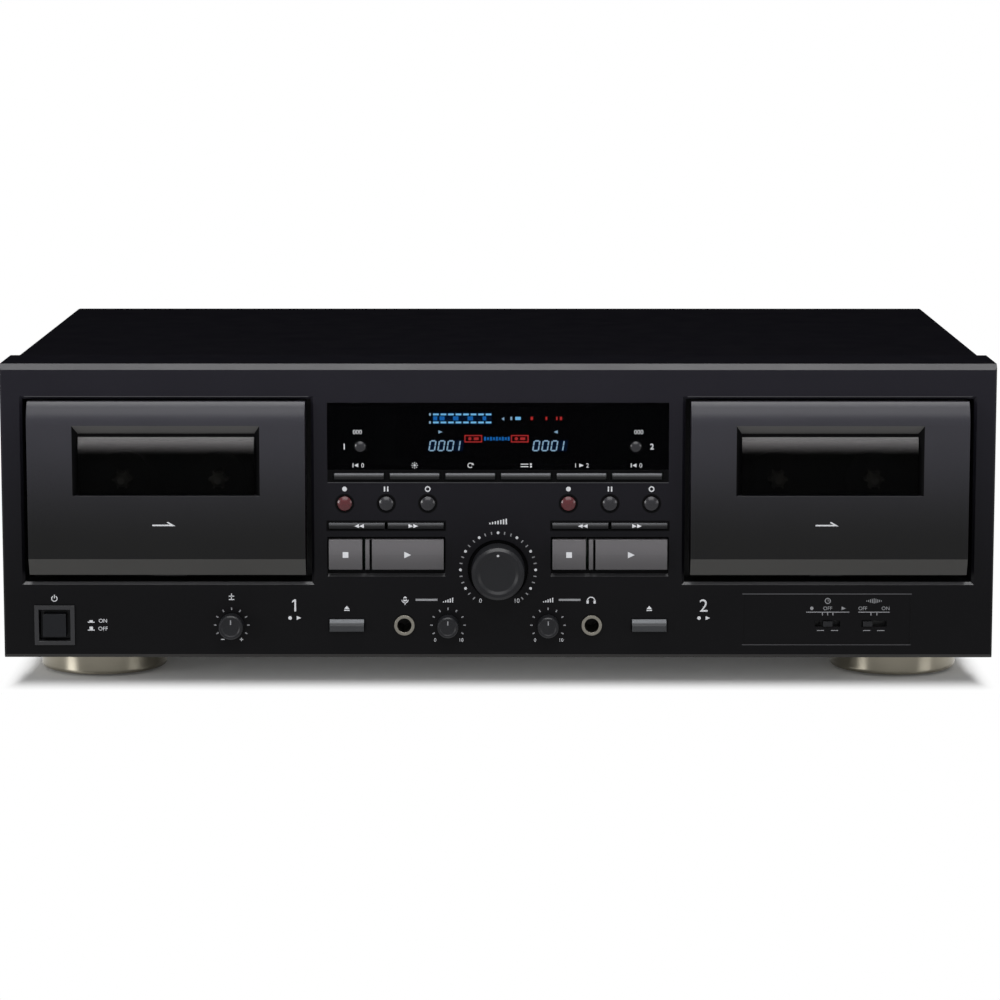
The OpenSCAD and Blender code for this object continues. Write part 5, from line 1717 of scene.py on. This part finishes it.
@dataclass
class Studio:
    """Camera, floor and plain soft light, in metres.

    Attributes:
        shade_half: Half the floor's width and depth within which the deck's shadow is kept; round it, white
            is painted over the shadow.
        fade: Widths over which the shadow is painted out into white, across and to the front.
        glow: White that is mixed into the shadow, which paints it lighter.
        surround: Strength of the even light from all round.
        floor_tints: The two greys between which the floor varies.
        floor_grain: Features of that pattern per metre.
    """

    camera_at: Spot = (0.00402, -1.7071, 0.3133)
    pitch: float = 8.228
    yaw: float = 0.115
    lens: float = 131.0
    sensor: float = 36.0
    floor_half: float = 4.0
    floor_tints: Point = (0.86, 0.88)
    floor_grain: float = 60.0
    floor_detail: float = 3.0
    shade_half: Point = (0.2215, 0.1345)
    fade: Point = (0.011, 0.036)
    glow: float = 0.024
    surround: float = 0.28
    lamps: tuple[Softbox, ...] = (
        Softbox("overhead_softbox", (0.0, -0.30, 1.25), (0.0, -0.05, 0.05), (1.2, 0.5), 18.5),
        Softbox("front_softbox", (0.0, -1.40, 1.35), (0.0, -0.1, 0.08), (1.5, 1.0), 18.5),
        Softbox("left_softbox", (-1.69, -1.08, 0.32), (-0.1, -0.1, 0.02), (0.56, 0.64), 15.5),
        Softbox("right_softbox", (1.69, -1.08, 0.32), (0.1, -0.1, 0.02), (0.75, 0.64), 6.5))

    def build(self) -> None:
        """Sets up the camera, the floor, the lamps and the world."""
        scene = bpy.context.scene
        scene.view_settings.view_transform = "Standard"
        data = bpy.data.cameras.new("camera")
        data.lens, data.sensor_width = self.lens, self.sensor
        camera = bpy.data.objects.new("camera", data)
        camera.location = self.camera_at
        camera.rotation_euler = (math.radians(90 - self.pitch), 0.0, math.radians(self.yaw))
        scene.collection.objects.link(camera)
        scene.camera = camera
        self._floor()
        self._world()
        for lamp in self.lamps:
            self._hang(lamp)

    @staticmethod
    def _hang(lamp: Softbox) -> None:
        """Adds a soft lamp.

        Args:
            lamp: The lamp.
        """
        data = bpy.data.lights.new(lamp.name, "AREA")
        data.shape = "RECTANGLE"
        data.size, data.size_y = lamp.size
        data.energy = lamp.power
        hung = bpy.data.objects.new(lamp.name, data)
        hung.location = lamp.spot
        hung.rotation_euler = (Vector(lamp.aim) - Vector(lamp.spot)).to_track_quat("-Z", "Y").to_euler()
        bpy.context.scene.collection.objects.link(hung)

    @staticmethod
    def _seen(wire: Wiring) -> bpy.types.NodeSocket:
        """Tells the rays that come from the camera, a reflection or glass from those of plain light.

        Args:
            wire: Wiring of a material or the world.

        Returns:
            A socket that is 1 for those rays and otherwise 0.
        """
        path = wire.node("ShaderNodeLightPath").outputs
        direct = wire.math("MAXIMUM", path["Is Camera Ray"], path["Is Transmission Ray"])
        return wire.math("MAXIMUM", direct, path["Is Glossy Ray"])

    def _floor(self) -> None:
        """Lays a pale floor that keeps the shadow under the deck and paints it out into plain white round it.
        """
        work = bmesh.new()
        bmesh.ops.create_grid(work, x_segments=8, y_segments=8, size=self.floor_half)
        mesh = bpy.data.meshes.new("studio_floor")
        work.to_mesh(mesh)
        work.free()
        made = bpy.data.materials.new("studio_floor")
        made.use_nodes = True
        made.node_tree.nodes.clear()
        wire = Wiring(made.node_tree)
        place = wire.node("ShaderNodeTexCoord").outputs["Object"]
        axes = wire.node("ShaderNodeSeparateXYZ", {0: place}).outputs
        past = [wire.math("DIVIDE", wire.math("SUBTRACT", wire.math("ABSOLUTE", axes[i]), half), width)
                for i, (half, width) in enumerate(zip(self.shade_half, self.fade))]
        # Painted light: round the deck's footprint the shadow is painted out into white, and white is mixed
        # into it.
        span = {0: wire.math("MAXIMUM", *past), 1: -1.0, 2: 0.0, 3: self.glow}
        fade = wire.node("ShaderNodeMapRange", span, interpolation_type="SMOOTHSTEP").outputs[0]
        dark, pale = ((tint, tint, tint, 1.0) for tint in self.floor_tints)
        tone = wire.mix(wire.noise(place, self.floor_grain, self.floor_detail), dark, pale)
        lit = wire.node("ShaderNodeBsdfDiffuse", {"Color": tone}).outputs[0]
        white = wire.node("ShaderNodeEmission", {"Color": WHITE, "Strength": 1.0}).outputs[0]
        share = wire.math("MULTIPLY", fade, self._seen(wire))
        shader = wire.node("ShaderNodeMixShader", {0: share, 1: lit, 2: white})
        wire.node("ShaderNodeOutputMaterial", {"Surface": shader.outputs[0]})
        mesh.materials.append(made)
        floor = bpy.data.objects.new("studio_floor", mesh)
        bpy.context.scene.collection.objects.link(floor)

    def _world(self) -> None:
        """Gives an even white surround that lights the deck only gently."""
        world = bpy.data.worlds.new("studio_world")
        bpy.context.scene.world = world
        world.use_nodes = True
        world.node_tree.nodes.clear()
        wire = Wiring(world.node_tree)
        soft = wire.node("ShaderNodeBackground", {"Color": WHITE, "Strength": self.surround}).outputs[0]
        white = wire.node("ShaderNodeBackground", {"Color": WHITE, "Strength": 1.0}).outputs[0]
        shader = wire.node("ShaderNodeMixShader", {0: self._seen(wire), 1: soft, 2: white})
        wire.node("ShaderNodeOutputWorld", {"Surface": shader.outputs[0]})


def main() -> None:
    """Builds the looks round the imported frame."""
    logging.basicConfig(level=logging.INFO, format="%(name)s: %(message)s")
    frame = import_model()
    shop = FinishShop()
    casework = Casework(frame["nodes"], shop)
    casework.dress()
    for deck in DECKS:
        DeckDoor(deck, casework).dress()
    KeyField(casework).dress()
    PanelPrint(casework).build()
    DisplayLight(shop).build()
    Studio().build()


if __name__ == "__main__":
    main()
